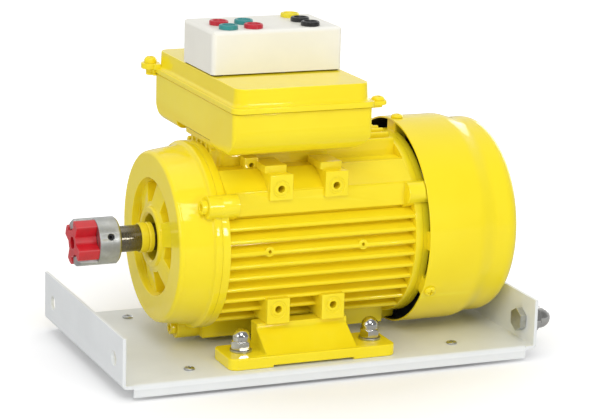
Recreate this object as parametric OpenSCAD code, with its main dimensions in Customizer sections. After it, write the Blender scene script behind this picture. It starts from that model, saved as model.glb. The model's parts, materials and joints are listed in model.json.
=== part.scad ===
// Capacitor start motor on a folded sheet base, for the teaching bench.
// X runs along the shaft with the coupling at the low end, Z is up, and the floor is at Z = 0.
// Lengths along X are measured from the middle of the base plate until the last step, which moves
// the whole model so that its box is centred on the origin.

/* [Base plate] */
// Length over the two end flanges
base_l = 320; // [280:1:360]
// Width of the plate
base_w = 182; // [175:1:220]
// Thickness of the folded sheet
sheet_t = 2.5; // [1.5:0.1:3]
// Height of the end flanges over the plate's underside
flange_h = 37; // [30:0.5:50]
// Drop of the side lips below the plate's underside
lip_h = 6.5; // [3:0.5:8]
// Distance from an end flange to the end of a side lip
lip_gap = 8.5; // [6:0.5:20]
// Outside radius of the folds
bend_r = 3.5; // [3.2:0.1:5]
// Diameter of the holes that join one base to the next
link_d = 10.5; // [8.5:0.5:12]
// Distance between the two joining holes of a flange
link_spacing = 142; // [120:1:150]
// Height of the joining holes over the plate's underside
link_h = 17.5; // [14:0.5:22]

/* [Rubber feet] */
// Diameter of a rubber foot
rubber_d = 20; // [14:0.5:24]
// Height of a rubber foot
rubber_h = 9; // [8.5:0.5:14]
// Distance between rubber feet along the base
rubber_x = 205; // [190:1:240]
// Distance between rubber feet across the base
rubber_y = 134; // [120:1:140]
// Diameter of the screws that hold the rubber feet
rubber_screw_d = 4; // [3:0.5:5]

/* [Motor feet] */
// Height of the shaft's axis over the base plate
shaft_h = 80; // [80:0.5:90]
// Place of the feet's middle along the base
foot_mid = -12; // [-20:1:-5]
// Distance between the holding-down bolts along the shaft
foot_hole_x = 100; // [96:1:106]
// Distance between the holding-down bolts across the shaft
foot_hole_y = 125; // [120:1:130]
// Length of a foot
foot_l = 128; // [124:1:136]
// Distance over the outer edges of the two feet
foot_out = 163; // [156:1:170]
// Width of one foot
foot_w = 36; // [34:1:40]
// Thickness of a foot's flat ends
foot_pad_h = 8.5; // [6:0.5:12]
// Length of a foot's raised middle
foot_block_l = 70; // [66:1:72]
// Diameter of the holding-down bolts
foot_bolt_d = 8; // [6:1:8]
// Diameter of the screws between a foot and the frame
foot_screw_d = 6; // [5:1:6]

/* [Frame] */
// Place of the frame's front face along the base
frame_x = -79; // [-82:0.5:-77]
// Length of the frame
frame_l = 155; // [153:0.5:158]
// Radius of the frame's end rings
ring_r = 68; // [67:0.5:69]
// Width of the frame's end rings
ring_w = 6; // [4:0.5:8]
// Radius of the circle that the side fins reach
fin_r = 67; // [65:0.5:67.5]
// Radius of the frame's outer wall between the fins
core_r = 58.5; // [57.5:0.1:59.5]
// Radius of the frame's bore
bore_r = 55; // [54:0.1:55.5]
// Thickness of a fin
fin_t = 3.4; // [2.5:0.1:4]
// Distance from fin to fin
fin_pitch = 9.05; // [8.8:0.05:9.3]
// Radius that the upright fins on top reach
top_fin_r = 71; // [69:0.5:72]
// Distance from the axis plane to the corner slabs' faces
slab_y = 58.5; // [57.5:0.5:60]
// Height of the corner slabs' lower edges over the axis
slab_z = 25.5; // [25:0.5:27]
// Height of the corner slabs' faces
slab_h = 16.4; // [15:0.2:17]
// Height of the level shoulders over the axis
shoulder_z = 55; // [54:0.5:56]
// Distance from the axis plane to the mounting pads' faces
pad_y = 61.5; // [61:0.5:64]
// Width of a mounting pad
pad_w = 17.5; // [16:0.5:20]
// Distance between the two pads of a side
pad_pitch = 42.4; // [40:0.2:45]
// Distance from the axis to the pads' ends, above and below
pad_end = 54.5; // [54:0.5:56]
// Distance from the axis to the pads' holes, above and below
pad_hole_z = 44; // [43:0.5:46]
// Diameter of the threaded holes in the pads
pad_hole_d = 5; // [4:0.5:6]
// Radius of the circle through the shields' screws
lug_circle = 69.5; // [69:0.5:71]
// Radius of a screw lug
lug_r = 8; // [7:0.5:9]

/* [End shields] */
// Distance that the drive end shield stands out of the frame
shield_l = 29.5; // [28:0.5:32]
// Radius of the shield's drum at its front
shield_r = 62.5; // [61:0.5:64]
// Radius of the recess in the drive end shield
recess_r = 42.7; // [41:0.1:45]
// Depth of the webs in the recess, at its wall
recess_depth = 5; // [4:0.5:6]
// Depth of the pits between the webs
pit_depth = 12; // [10:0.5:12.5]
// Radius of the boss round the shaft
boss_r = 22.2; // [21:0.1:24]
// Radius of the hole in the boss
boss_hole_r = 16.5; // [14:0.5:18]
// Length of the rear end shield behind the frame
rear_l = 22; // [20:0.5:24]

/* [Fan cover] */
// Radius of the fan cover's skirt
cover_r = 76.8; // [75.5:0.1:77]
// Radius of the fan cover behind its step
cover_rear_r = 73.2; // [71:0.1:74.5]
// Thickness of the fan cover
cover_t = 1.5; // [1:0.1:2]
// Gap from the frame's rear face to the fan cover's rim
cover_gap = 1.3; // [0.5:0.1:3]
// Length of the fan cover
cover_l = 75.5; // [73:0.5:78]
// Length of the fan cover's skirt up to its step
skirt_l = 40; // [38:1:46]
// Radius of the fan cover's rear edge
cover_edge_r = 11; // [8:0.5:14]

/* [Shaft and rotor] */
// Diameter of the drive end of the shaft
shaft_d = 19; // [17:0.5:19]
// Distance from the shield's boss to the shaft's end
shaft_out = 42; // [40:0.5:46]
// Diameter of the shaft's bearing seats
seat_d = 20; // [20:0.5:21]
// Diameter of the shaft in the rotor
rotor_shaft_d = 25; // [23:0.5:26]
// Outside diameter of the ball bearings
bearing_d = 47; // [46:0.5:48]
// Width of the ball bearings
bearing_w = 14; // [12:0.5:14]
// Length of the stator and rotor cores
core_l = 80; // [70:1:82]
// Place of the cores' middle along the base
core_mid = -6; // [-8:0.5:-4]
// Radius of the rotor
rotor_r = 30; // [28:0.5:31]
// Air gap between rotor and stator
air_gap = 0.35; // [0.3:0.05:0.5]
// Radius of the fan
fan_r = 61; // [50:1:64]

/* [Coupling] */
// Diameter of the coupling
coupling_d = 34; // [32:0.5:38]
// Length of the coupling hub without its jaws
hub_l = 16.5; // [15:0.5:20]
// Length of the jaws
jaw_l = 14.5; // [12:0.5:16]
// Diameter of the grub screw
grub_d = 5; // [4:0.5:6]
// Turn of the coupling, with its jaws and grub screw, above the horizontal
coupling_turn = 22; // [0:1:45]

/* [Terminal box] */
// Place of the box's middle along the base
box_mid = -25; // [-28:0.5:-23]
// Length of the box along the shaft
box_l = 105; // [102:0.5:107]
// Width of the box across the shaft at its rim
box_w = 164; // [160:1:168]
// Distance from the shaft's plane to the box's middle, towards the far side
box_y = 2; // [0:0.5:3]
// Height of the frame's neck over the axis
neck_h = 74; // [73:0.5:76]
// Width of the neck across the shaft
neck_w = 54; // [50:1:58]
// Height of the box's rim over its seat
box_h = 27; // [24:0.5:30]
// Depth of the box's bellies below its seat
box_drop = 5.5; // [4:0.5:6]
// Wall of the box and its lid
box_wall = 3; // [2.5:0.1:3.5]
// Overhang of the lid's rim
lid_over = 1.25; // [1:0.25:2]
// Height of the lid
lid_h = 16.8; // [15:0.2:20]
// Thickness of the lid's rim
lid_rim = 4; // [3.5:0.5:6]
// Distance from the lid's end to its near screw
ear_out = 5; // [4.5:0.25:7]
// Diameter of the lid screws
lid_screw_d = 4; // [3:0.5:5]

/* [Socket box] */
// Length of the socket box
socket_box_l = 99; // [95:0.5:104]
// Width of the socket box
socket_box_w = 60.5; // [60:0.5:70]
// Height of the socket box
socket_box_h = 31; // [30:0.5:40]
// Wall of the socket box
socket_box_t = 2.2; // [2:0.1:2.4]
// Distance between sockets
socket_pitch = 19; // [18.5:0.25:20]
// Diameter of a socket's collar
socket_d = 13.6; // [13:0.2:15]
// Height of a socket's collar
socket_h = 3.2; // [2:0.2:5]
// Diameter of the plug that a socket takes
plug_d = 4; // [3.5:0.1:4.2]
// Height of the spacers under the socket box
spacer_h = 1; // [1:0.1:3]

/* [Clearances] */
// Radial clearance of bolts and screws in their holes
bolt_gap = 0.5; // [0.3:0.05:0.8]
// Radial clearance of parts that are fitted together
fit_gap = 0.04; // [0.02:0.01:0.08]
// Gap between neighbouring parts that must not touch
air = 0.5; // [0.4:0.1:0.8]

/* [Hidden] */
$fn = 64;
eps = 0.01;

// Heights
plate_top = rubber_h + sheet_t;
axis_z = plate_top + shaft_h;
foot_top = axis_z - pad_end;

// Stations along the shaft
frame_end = frame_x + frame_l;
shield_front = frame_x - shield_l;
boss_front = shield_front - 1.5;
shaft_tip = boss_front - shaft_out;
hub_front = shaft_tip;
hub_back = hub_front + hub_l;
jaw_tip = hub_front - jaw_l;
core_front = core_mid - core_l / 2;
core_back = core_mid + core_l / 2;
rear_end = frame_end + rear_l;
cover_front = frame_end + cover_gap;
cover_back = cover_front + cover_l;

// Bolts, nuts and screws
link_bolt_d = link_d - bolt_gap;
link_af = 1.55 * link_bolt_d;
link_head_h = 0.5 * link_bolt_d;
link_nut_af = 1.7 * link_bolt_d;
link_washer_h = 2;
link_nut_h = 1.8 * link_bolt_d;
foot_af = 1.63 * foot_bolt_d;
foot_head_h = 0.66 * foot_bolt_d;
foot_washer_h = 1.6;
foot_nut_h = 1.87 * foot_bolt_d;
foot_seat_t = 8;
foot_screw_in = pad_end - pad_hole_z - pad_hole_d / 2 - 1;
shield_screw_d = 6;
cover_screw_d = 4;
box_screw_d = 5;
box_screw_head_d = 9.5;
box_screw_in = 7;
socket_screw_d = 3.5;

// The whole model's ends, and the shift that centres it
right_end = base_l / 2 + link_washer_h + link_nut_h;
spider_tip = jaw_tip - 1.2;
left_end = min(spider_tip, -base_l / 2);
centre_shift = -(left_end + right_end) / 2;

// Angles of the shield screws and of the fan cover's screws, up from the near side
lug_angles = [30, 150, 270];
cover_angles = [90, -30, 210];
rest_angles = [0, 180];

// Bearings
drive_bearing_x = shield_front + pit_depth + 0.5;
rear_bearing_x = rear_end - bearing_w - 4;
race_t = 3.4;
ball_r = 3.6;
ball_count = 9;

// Rotor and windings
lead = 15;
shaft_rear = cover_back - 20;
fan_seat_d = seat_d - 4;
fan_x = rear_end + 10;
fan_hub_l = 18;
fan_w = 24;
bar_count = 18;
bar_circle = rotor_r - 4;
bar_r = 2.2;
slot_count = 12;
main_circle = 45;
main_r = 4;
start_circle = 35.8;
start_r = 2.6;
ring_l = 6;

// Governor and switch, behind the rotor
governor_x = core_back + lead + 2;
disc_t = 2.5;
disc_r = 30;
sleeve_r = rotor_shaft_d / 2 + 2.5;
sleeve_l = 17;
collar_l = 6;
collar_r = sleeve_r + 6;
collar_x = governor_x + disc_t + 7;
weight_l = 7;
weight_w = 20;
weight_in = collar_r + 1.5;
weight_out = weight_in + 8;
weight_pivot_x = governor_x + disc_t + 2.6;
pivot_r = 1.5;
leaf_x = collar_x + collar_l + 0.4;
leaf_t = 0.8;
leaf_w = 10;
leaf_pivot = 40;
plate_x = leaf_x + 5;
switch_t = 2;
switch_r = 46;

// Terminal box
neck_l = box_l - 13;
neck_mid = box_mid - 1;
neck_flange_l = neck_l + 4;
neck_flange_w = neck_w + 9;
channel_w = neck_flange_w + 5;
neck_top = axis_z + neck_h;
box_gasket_t = 2;
box_seat = neck_top + box_gasket_t;
box_low = box_seat - box_drop;
box_rim = box_seat + box_h;
box_edge_r = 22;
box_fan_r = 16;
box_front_r = 5.5;
box_corner_r = 5;
lid_gasket_t = 0.7;
lid_gasket_in = 1;
lid_low = box_rim + lid_gasket_t;
lid_top = lid_low + lid_h;
lid_l = box_l + 2 * lid_over;
lid_w = box_w + 2 * lid_over + 3.5;
lid_corner_r = 7;
lid_turn_r = 12.3;
lid_in = 3.3;
lid_lean = 0.5;
lid_cove = 2.6;
near_ear_r = 6.2;
near_ear_t = 3;
far_ear_r = 7;
far_ear_t = 4.4;
far_ear_lift = 2.8;
ear_lug_r = lid_screw_d / 2 + 1.4;
near_ear = [box_mid + lid_l / 2 + ear_out, box_y - lid_w / 2 + 11];
far_ear = [box_mid - lid_l / 2 - 2, min(box_y + lid_w / 2 - 3, base_w / 2 - far_ear_r)];
near_ear_top = lid_low + near_ear_t;
far_ear_top = lid_low + far_ear_lift + far_ear_t;
cable_hole_d = 26;
box_screw_x = neck_l / 2 - 7.5;
box_screw_y = neck_w / 2 - 5.5;
capacitor_r = 17.5;
capacitor_l = box_l - 25;
capacitor_x = box_mid - box_l / 2 + box_wall + 2.5;
capacitor_y = channel_w / 2 + box_wall + 1.5 + capacitor_r;
capacitor_z = box_low + box_wall + capacitor_r + 0.2;

// Socket box
socket_box_low = lid_top + spacer_h;
socket_box_top = socket_box_low + socket_box_h;
socket_box_mid = box_mid - 0.7;
socket_edge_r = 3.5;
post_r = 4;
post_x = 6;
post_y = socket_box_w / 2 - socket_box_t - post_r + 1;
spacer_r = 4.5;
spacer_x = socket_box_l / 2 - spacer_r - 1;
spacer_y = socket_box_w / 2 - spacer_r - 1;
socket_rows = [-21, -21 + socket_pitch, -21 + 2 * socket_pitch];
left_column = socket_box_mid - 34.5;
right_column = socket_box_mid + 28;
red_places = [[left_column, socket_rows[1]], [left_column + socket_pitch, socket_rows[0]]];
teal_places = [[left_column, socket_rows[0]], [left_column + socket_pitch, socket_rows[1]]];
black_places = [[right_column, socket_rows[0]], [right_column, socket_rows[1]]];
yellow_places = [[right_column, socket_rows[2]]];
socket_places = concat(red_places, teal_places, black_places, yellow_places);
socket_body_r = socket_d / 2 - 1.2;
socket_body_l = 23;
contact_l = 18;
contact_top = socket_box_top - 0.8;
contact_r = plug_d / 2 + 1.1;
nut_h = 4;

// Colours
yellow = "#f4d838";
off_white = "#dfded4";
cream = "#efedde";
zinc = "#c9ccce";
steel = "#b9bbbd";
dark = "#2b2b2b";
copper = "#b8682e";

// Helpers

// Turns what is drawn along +Z onto the motor's axis
module on_axis(x = 0) {
    translate([x, 0, axis_z]) rotate([0, 90, 0]) children();
}

// A solid of revolution about the motor's axis, from points of radius and station
module turned(points) {
    on_axis() rotate_extrude() polygon(points);
}

// A round bar along the motor's axis
module bar(x, l, r) {
    on_axis(x) cylinder(h = l, r = r);
}

// A tube along the motor's axis
module tube(x, l, r_out, r_in) {
    turned([[r_in, x], [r_out, x], [r_out, x + l], [r_in, x + l]]);
}

// Repeats what is drawn on the near side at the given angles round the motor's axis
module round_axis(angles) {
    for (a = angles)
        translate([0, 0, axis_z]) rotate([-a, 0, 0]) translate([0, 0, -axis_z]) children();
}

// Extrudes a cross-section drawn as (y, height over the axis) from station x over length l
module section(x, l) {
    translate([x, 0, axis_z]) rotate([90, 0, 90]) linear_extrude(l) children();
}

// A rectangle with round corners, centred
module round_rect(w, h, r) {
    square([w - 2 * r, h], center = true);
    square([w, h - 2 * r], center = true);
    for (x = [-1, 1], y = [-1, 1])
        translate([x * (w / 2 - r), y * (h / 2 - r)]) circle(r);
}

// A hexagon prism along +Z, with flats across
module hex(af, h) {
    cylinder(h = h, d = af / cos(30), $fn = 6);
}

// A domed nut on a blind thread, standing on Z = 0
module domed_nut(d, af, h) {
    skirt = 0.45 * h;
    dome_r = 0.47 * af;
    difference() {
        union() {
            intersection() {
                hex(af, skirt);
                rotate_extrude()
                    polygon([[0, 0], [af / 2 + 0.2, 0], [af * 0.6, skirt * 0.2], [af * 0.6, skirt * 0.75],
                             [dome_r, skirt + eps], [0, skirt + eps]]);
            }
            translate([0, 0, skirt - eps]) cylinder(h = h - skirt - dome_r + eps, r = dome_r);
            translate([0, 0, h - dome_r]) intersection() {
                sphere(dome_r);
                translate([-af, -af, -eps]) cube([2 * af, 2 * af, dome_r + 1]);
            }
        }
        translate([0, 0, -1]) cylinder(h = h * 0.7 + 1, r = d / 2 + fit_gap);
    }
}

// A pan head screw with a cross recess, head on Z = 0 upwards and shank below
module pan_screw(d, l, head_d, head_h) {
    edge = head_h * 0.45;
    difference() {
        rotate_extrude()
            polygon([[0, -l], [d / 2, -l], [d / 2, 0], [head_d / 2, 0], [head_d / 2, edge],
                     [head_d * 0.42, head_h * 0.78], [head_d * 0.26, head_h], [0, head_h]]);
        for (a = [0, 90])
            rotate([0, 0, a]) translate([-head_d * 0.28, -head_d * 0.06, head_h * 0.4])
                cube([head_d * 0.56, head_d * 0.12, head_h]);
    }
}

// A hex head bolt, head below Z = 0 and shank above
module hex_bolt(d, l, af, head_h) {
    translate([0, 0, -head_h]) hex(af, head_h);
    translate([0, 0, -eps]) cylinder(h = l + eps, d = d);
}

// Places of the rubber feet and of the holding-down bolts
module at_rubber_feet() {
    for (x = [-1, 1], y = [-1, 1]) translate([x * rubber_x / 2, y * rubber_y / 2, 0]) children();
}

module at_foot_bolts() {
    for (x = [-1, 1], y = [-1, 1])
        translate([foot_mid + x * foot_hole_x / 2, y * foot_hole_y / 2, 0]) children();
}

module at_foot_screws(sides = [-1, 1]) {
    for (x = [-1, 1], y = sides)
        translate([foot_mid + x * pad_pitch / 2, y * (pad_y - pad_depth / 2 - 1), 0]) children();
}
pad_depth = 17;

// Places of the joining holes of one end, as bars along +X from the flange's outside
module at_links(x) {
    for (y = [-1, 1])
        translate([x, y * link_spacing / 2, rubber_h + link_h]) rotate([0, 90, 0]) children();
}

// Base

// One end of the base in side view: flange, fold and a short stretch of plate
module end_fold() {
    translate([0, bend_r]) square([sheet_t, flange_h - bend_r]);
    translate([bend_r, 0]) square([lip_gap - bend_r, sheet_t]);
    intersection() {
        translate([bend_r, bend_r]) difference() {
            circle(bend_r);
            circle(bend_r - sheet_t);
        }
        square(bend_r);
    }
}

// The plate in end view between the flanges, with its lips folded down
module lip_fold() {
    fold_y = base_w / 2 - bend_r;
    fold_z = sheet_t - bend_r;
    translate([-fold_y, 0]) square([2 * fold_y, sheet_t]);
    for (s = [0, 1]) mirror([s, 0]) {
        translate([base_w / 2 - sheet_t, -lip_h]) square([sheet_t, lip_h + fold_z]);
        intersection() {
            translate([fold_y, fold_z]) difference() {
                circle(bend_r);
                circle(bend_r - sheet_t);
            }
            translate([fold_y, fold_z]) square(bend_r);
        }
    }
}

module base_plate() {
    color(off_white) difference() {
        union() {
            for (s = [0, 1]) mirror([s, 0, 0])
                translate([-base_l / 2, base_w / 2, rubber_h]) rotate([90, 0, 0])
                    linear_extrude(base_w) end_fold();
            translate([-base_l / 2 + lip_gap, 0, rubber_h]) rotate([90, 0, 90])
                linear_extrude(base_l - 2 * lip_gap) lip_fold();
        }
        for (x = [-base_l / 2 - 1, base_l / 2 - sheet_t - 1])
            at_links(x) cylinder(h = sheet_t + 2, d = link_d);
        at_foot_bolts() translate([0, 0, rubber_h - 1])
            cylinder(h = sheet_t + 2, r = foot_bolt_d / 2 + bolt_gap);
        at_rubber_feet() translate([0, 0, rubber_h - 1])
            cylinder(h = sheet_t + 2, r = rubber_screw_d / 2 + bolt_gap / 2);
    }
}

module base_feet() {
    chamfer = 1.5;
    hole = rubber_h - 2.5;
    color(dark) at_rubber_feet() rotate_extrude()
        polygon([[0, 0], [rubber_d / 2 - chamfer, 0], [rubber_d / 2, chamfer], [rubber_d / 2, rubber_h],
                 [rubber_screw_d / 2 + fit_gap, rubber_h], [rubber_screw_d / 2 + fit_gap, rubber_h - hole],
                 [0, rubber_h - hole]]);
}

module base_foot_screws() {
    color(zinc) at_rubber_feet() translate([0, 0, plate_top])
        pan_screw(rubber_screw_d, sheet_t + rubber_h - 4, 2 * rubber_screw_d, 0.45 * rubber_screw_d);
}

module link_bolts() {
    color(steel) at_links(base_l / 2 - sheet_t)
        hex_bolt(link_bolt_d, sheet_t + link_washer_h + link_nut_h * 0.6, link_af, link_head_h);
}

module link_washers() {
    color(zinc) at_links(base_l / 2) difference() {
        cylinder(h = link_washer_h, d = 2 * link_bolt_d);
        translate([0, 0, -1]) cylinder(h = link_washer_h + 2, r = link_bolt_d / 2 + bolt_gap / 2);
    }
}

module link_nuts() {
    color(zinc) at_links(base_l / 2 + link_washer_h) rotate([0, 0, 30])
        domed_nut(link_bolt_d, link_nut_af, link_nut_h);
}

// Motor feet

// The foot on the far side; the near foot mirrors it
module motor_foot() {
    out = foot_out / 2;
    in = out - foot_w;
    middle = foot_mid - 1;
    relief = 1.5;
    relief_l = foot_block_l - 8;
    head_r = foot_screw_d * 0.85;
    slope_low = foot_pad_h - 2;
    neck_y = pad_y - 4;
    neck_h = 5;
    top = foot_top - plate_top;
    corner = 6;
    difference() {
        union() {
            translate([middle, (in + out) / 2, plate_top])
                linear_extrude(foot_pad_h) round_rect(foot_l, foot_w, corner);
            translate([middle - foot_block_l / 2, 0, plate_top]) rotate([90, 0, 90])
                linear_extrude(foot_block_l)
                    polygon([[in, 0], [out - 1, 0], [out - 1, slope_low], [neck_y, top - neck_h],
                             [neck_y, top], [in, top]]);
        }
        translate([middle - relief_l / 2, in - 1, plate_top - 1])
            cube([relief_l, foot_w + 2, relief + 1]);
        at_foot_bolts() translate([0, 0, plate_top - 1])
            cylinder(h = foot_pad_h + 2, r = foot_bolt_d / 2 + 1.5 * bolt_gap);
        at_foot_screws([1]) {
            translate([0, 0, plate_top - 1]) cylinder(h = foot_top, r = foot_screw_d / 2 + bolt_gap);
            translate([0, 0, plate_top - 1])
                cylinder(h = foot_top - plate_top - foot_seat_t + 1, r = head_r + bolt_gap);
        }
    }
}

module near_foot() {
    color(yellow) mirror([0, 1, 0]) motor_foot();
}

module far_foot() {
    color(yellow) motor_foot();
}

module foot_bolts() {
    grip = sheet_t + foot_pad_h + foot_washer_h;
    color(steel) at_foot_bolts() translate([0, 0, rubber_h])
        hex_bolt(foot_bolt_d, grip + foot_nut_h * 0.6, foot_af, foot_head_h);
}

module foot_washers() {
    color(zinc) at_foot_bolts() translate([0, 0, plate_top + foot_pad_h]) difference() {
        cylinder(h = foot_washer_h, d = 2 * foot_bolt_d);
        translate([0, 0, -1]) cylinder(h = foot_washer_h + 2, r = foot_bolt_d / 2 + bolt_gap / 2);
    }
}

module foot_nuts() {
    color(zinc) at_foot_bolts() translate([0, 0, plate_top + foot_pad_h + foot_washer_h])
        domed_nut(foot_bolt_d, foot_af, foot_nut_h);
}

module foot_screws() {
    head_h = foot_screw_d;
    seat = foot_top - foot_seat_t;
    color(steel) at_foot_screws() difference() {
        union() {
            translate([0, 0, seat - head_h]) cylinder(h = head_h, r = foot_screw_d * 0.85);
            translate([0, 0, seat - eps]) cylinder(h = foot_seat_t + foot_screw_in, d = foot_screw_d);
        }
        translate([0, 0, seat - head_h - eps]) hex(foot_screw_d * 0.83, head_h * 0.5);
    }
}

// Frame

// The finned cross-section between the end rings
module fin_section() {
    fin_low = slab_z - fin_pitch - 0.2;
    circle(core_r);
    for (k = [0 : 8], s = [0, 1]) mirror([s, 0])
        translate([0, fin_low + fin_t / 2 - k * fin_pitch])
            cast_fin(fin_low + fin_t / 2 - k * fin_pitch);
    for (k = [-2.5 : 1 : 2.5])
        translate([k * fin_pitch, 0]) rotate(90) round_fin(fin_reach(top_fin_r, k * fin_pitch));
    for (s = [0, 1]) mirror([s, 0]) corner_slab();
    bottom_rail();
}

// How far a fin at height z goes to touch a circle of radius r
function fin_reach(r, z) = sqrt(r * r - z * z) - fin_t / 2;

// A fin with a round tip, out along the first axis
module round_fin(reach) {
    translate([0, -fin_t / 2]) square([reach, fin_t]);
    translate([reach, 0]) circle(fin_t / 2);
}

// A side fin at height z, thicker at its root
module cast_fin(z) {
    root = sqrt(core_r * core_r - z * z);
    rise = 3.2;
    reach = fin_reach(fin_r, z);
    round_fin(reach);
    polygon([[root - 6, -fin_t / 2], [reach, -fin_t / 2], [reach, fin_t / 2],
             [root, fin_t / 2 + rise], [root - 6, fin_t / 2 + rise]]);
}

// A corner slab, the slope above it and the level shoulder up to the upright fins
module corner_slab() {
    groove = 0.9;
    slab_top = slab_z + slab_h;
    polygon([[40, slab_z], [slab_y, slab_z], [slab_y, slab_top], [slab_y - groove, slab_top],
             [slab_y - groove, slab_top + groove], [slab_y - 2 * groove, slab_top + groove],
             [sqrt(ring_r * ring_r - shoulder_z * shoulder_z), shoulder_z], [12, shoulder_z]]);
}

// The rail that holds the lowest screws
module bottom_rail() {
    rail_w = 28;
    translate([-rail_w / 2, -lug_circle - lug_r + 2]) square([rail_w, lug_circle + lug_r - core_r + 2]);
}

// A mounting pad pair on the far side, above (1) or below (-1) the axis
module pads(up) {
    inner = 36;
    for (x = [-1, 1])
        translate([foot_mid + x * pad_pitch / 2 - pad_w / 2, pad_y - pad_depth, 0]) {
            low = up > 0 ? inner : -pad_end;
            translate([0, 0, axis_z + low]) cube([pad_w, pad_depth, pad_end - inner]);
            translate([0, -14, axis_z + low]) cube([pad_w, 15, pad_end - inner]);
            if (up > 0)
                translate([-1.5, -14, axis_z + pad_end - eps]) cube([pad_w - 1, 24, 5.5]);
        }
}

module at_pad_holes() {
    for (x = [-1, 1], z = [-1, 1])
        translate([foot_mid + x * pad_pitch / 2, pad_y, axis_z + z * pad_hole_z]) rotate([90, 0, 0])
            children();
}

// Lugs on the near side for a shield screw, with a web down to the wall
module lug(x, l) {
    on_axis(x) translate([0, -lug_circle, 0]) cylinder(h = l, r = lug_r);
    translate([x, -lug_circle, axis_z - lug_r]) cube([l, lug_circle - core_r + 3, 2 * lug_r]);
}

// A hole on the near side for a shield screw
module lug_hole(x, l, r) {
    on_axis(x) translate([0, -lug_circle, 0]) cylinder(h = l, r = r);
}

// A ring at an end of the frame, with its edges broken
module end_ring(x) {
    edge = 0.3;
    turned([[bore_r, x], [ring_r - edge, x], [ring_r, x + edge], [ring_r, x + ring_w - edge],
            [ring_r - edge, x + ring_w], [bore_r, x + ring_w]]);
}

// The flange that the terminal box stands on
module neck_flange() {
    round_rect(neck_flange_l, neck_flange_w, 9);
}

module at_box_screws(z) {
    for (x = [-1, 1], y = [-1, 1])
        translate([neck_mid + x * box_screw_x, y * box_screw_y, z]) children();
}

lug_l = 12.5;
earth_x = -47;
earth_y = -38;
earth_z = 57.2;

module stator_frame() {
    screw_deep = 10;
    plate_hole_x = [-43, 29];
    plate_hole_z = axis_z + 0.5;
    color(yellow) difference() {
        union() {
            section(frame_x + ring_w - eps, frame_l - 2 * ring_w + 2 * eps) fin_section();
            end_ring(frame_x);
            end_ring(frame_end - ring_w);
            for (s = [0, 1], up = [-1, 1]) mirror([0, s, 0]) pads(up);
            round_axis(lug_angles) {
                lug(frame_x, lug_l);
                lug(frame_end - lug_l, lug_l);
            }
            translate([neck_mid, 0, axis_z]) linear_extrude(neck_h) round_rect(neck_l, neck_w, 10);
            translate([neck_mid, 0, neck_top - 4]) linear_extrude(4) neck_flange();
            translate([earth_x - 5.2, earth_y, axis_z + 48]) cube([10.4, 10, 14.5]);
            for (x = plate_hole_x)
                translate([x, -fin_r + 0.5, plate_hole_z]) rotate([-90, 0, 0]) cylinder(h = 10, r = 3.6);
        }
        bar(frame_x - 1, frame_l + 2, bore_r);
        for (s = [0, 1]) mirror([0, s, 0]) at_pad_holes() {
            translate([0, 0, -1]) cylinder(h = 13, d = pad_hole_d);
            difference() {
                translate([0, 0, -1]) cylinder(h = 1.4, d = 2.4 * pad_hole_d);
                translate([0, 0, -2]) cylinder(h = 4, d = 1.9 * pad_hole_d);
            }
        }
        round_axis(lug_angles) {
            lug_hole(frame_x - 1, screw_deep + 1, shield_screw_d / 2 + fit_gap);
            lug_hole(frame_end - screw_deep, screw_deep + 1, shield_screw_d / 2 + fit_gap);
        }
        at_foot_screws() translate([0, 0, foot_top - 1])
            cylinder(h = foot_screw_in + 1.6, r = foot_screw_d / 2 + fit_gap);
        translate([neck_mid, 0, axis_z]) cylinder(h = neck_h + 1, d = cable_hole_d);
        at_box_screws(neck_top - box_screw_in - 2)
            cylinder(h = box_screw_in + 3, r = box_screw_d / 2 + fit_gap);
        translate([earth_x, earth_y - 1, axis_z + earth_z]) rotate([-90, 0, 0]) cylinder(h = 9, r = 1.7);
        for (x = plate_hole_x)
            translate([x, -fin_r - 1, plate_hole_z]) rotate([-90, 0, 0]) cylinder(h = 7, r = 1.2);
    }
}

// Stator

module slots(circle_r, r) {
    on_axis(core_front - 1) for (k = [0 : slot_count - 1])
        rotate([0, 0, 360 / slot_count * (k + 0.5)]) translate([circle_r, 0, 0])
            cylinder(h = core_l + 2, r = r);
}

module stator_core() {
    color("#8d8f91") difference() {
        tube(core_front, core_l, bore_r - fit_gap, rotor_r + air_gap);
        slots(main_circle, main_r + 0.2);
        slots(start_circle, start_r + 0.2);
    }
}

// A distributed winding: legs in the slots and a ring of end turns at each end
module winding(circle_r, r, r_in, r_out) {
    tube(core_front - lead, lead, r_out, r_in);
    tube(core_back, lead, r_out, r_in);
    slots(circle_r, r);
}

module main_winding() {
    color(copper) winding(main_circle, main_r, main_circle - main_r - 1, main_circle + main_r + 2);
}

module start_winding() {
    color("#8c4a22") winding(start_circle, start_r, start_circle - start_r, start_circle + start_r + 0.6);
}

// End shields

module shield_lugs(x, l) {
    round_axis(lug_angles) lug(x, l);
}

module shield_holes(x, l) {
    round_axis(lug_angles) lug_hole(x, l, shield_screw_d / 2 + bolt_gap);
}

spigot = 4;
spigot_r = bore_r - fit_gap;
shield_lug_l = 10.5;
rear_lug_l = 6.5;
shield_wall = 4;
pit_turn = 46;

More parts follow.
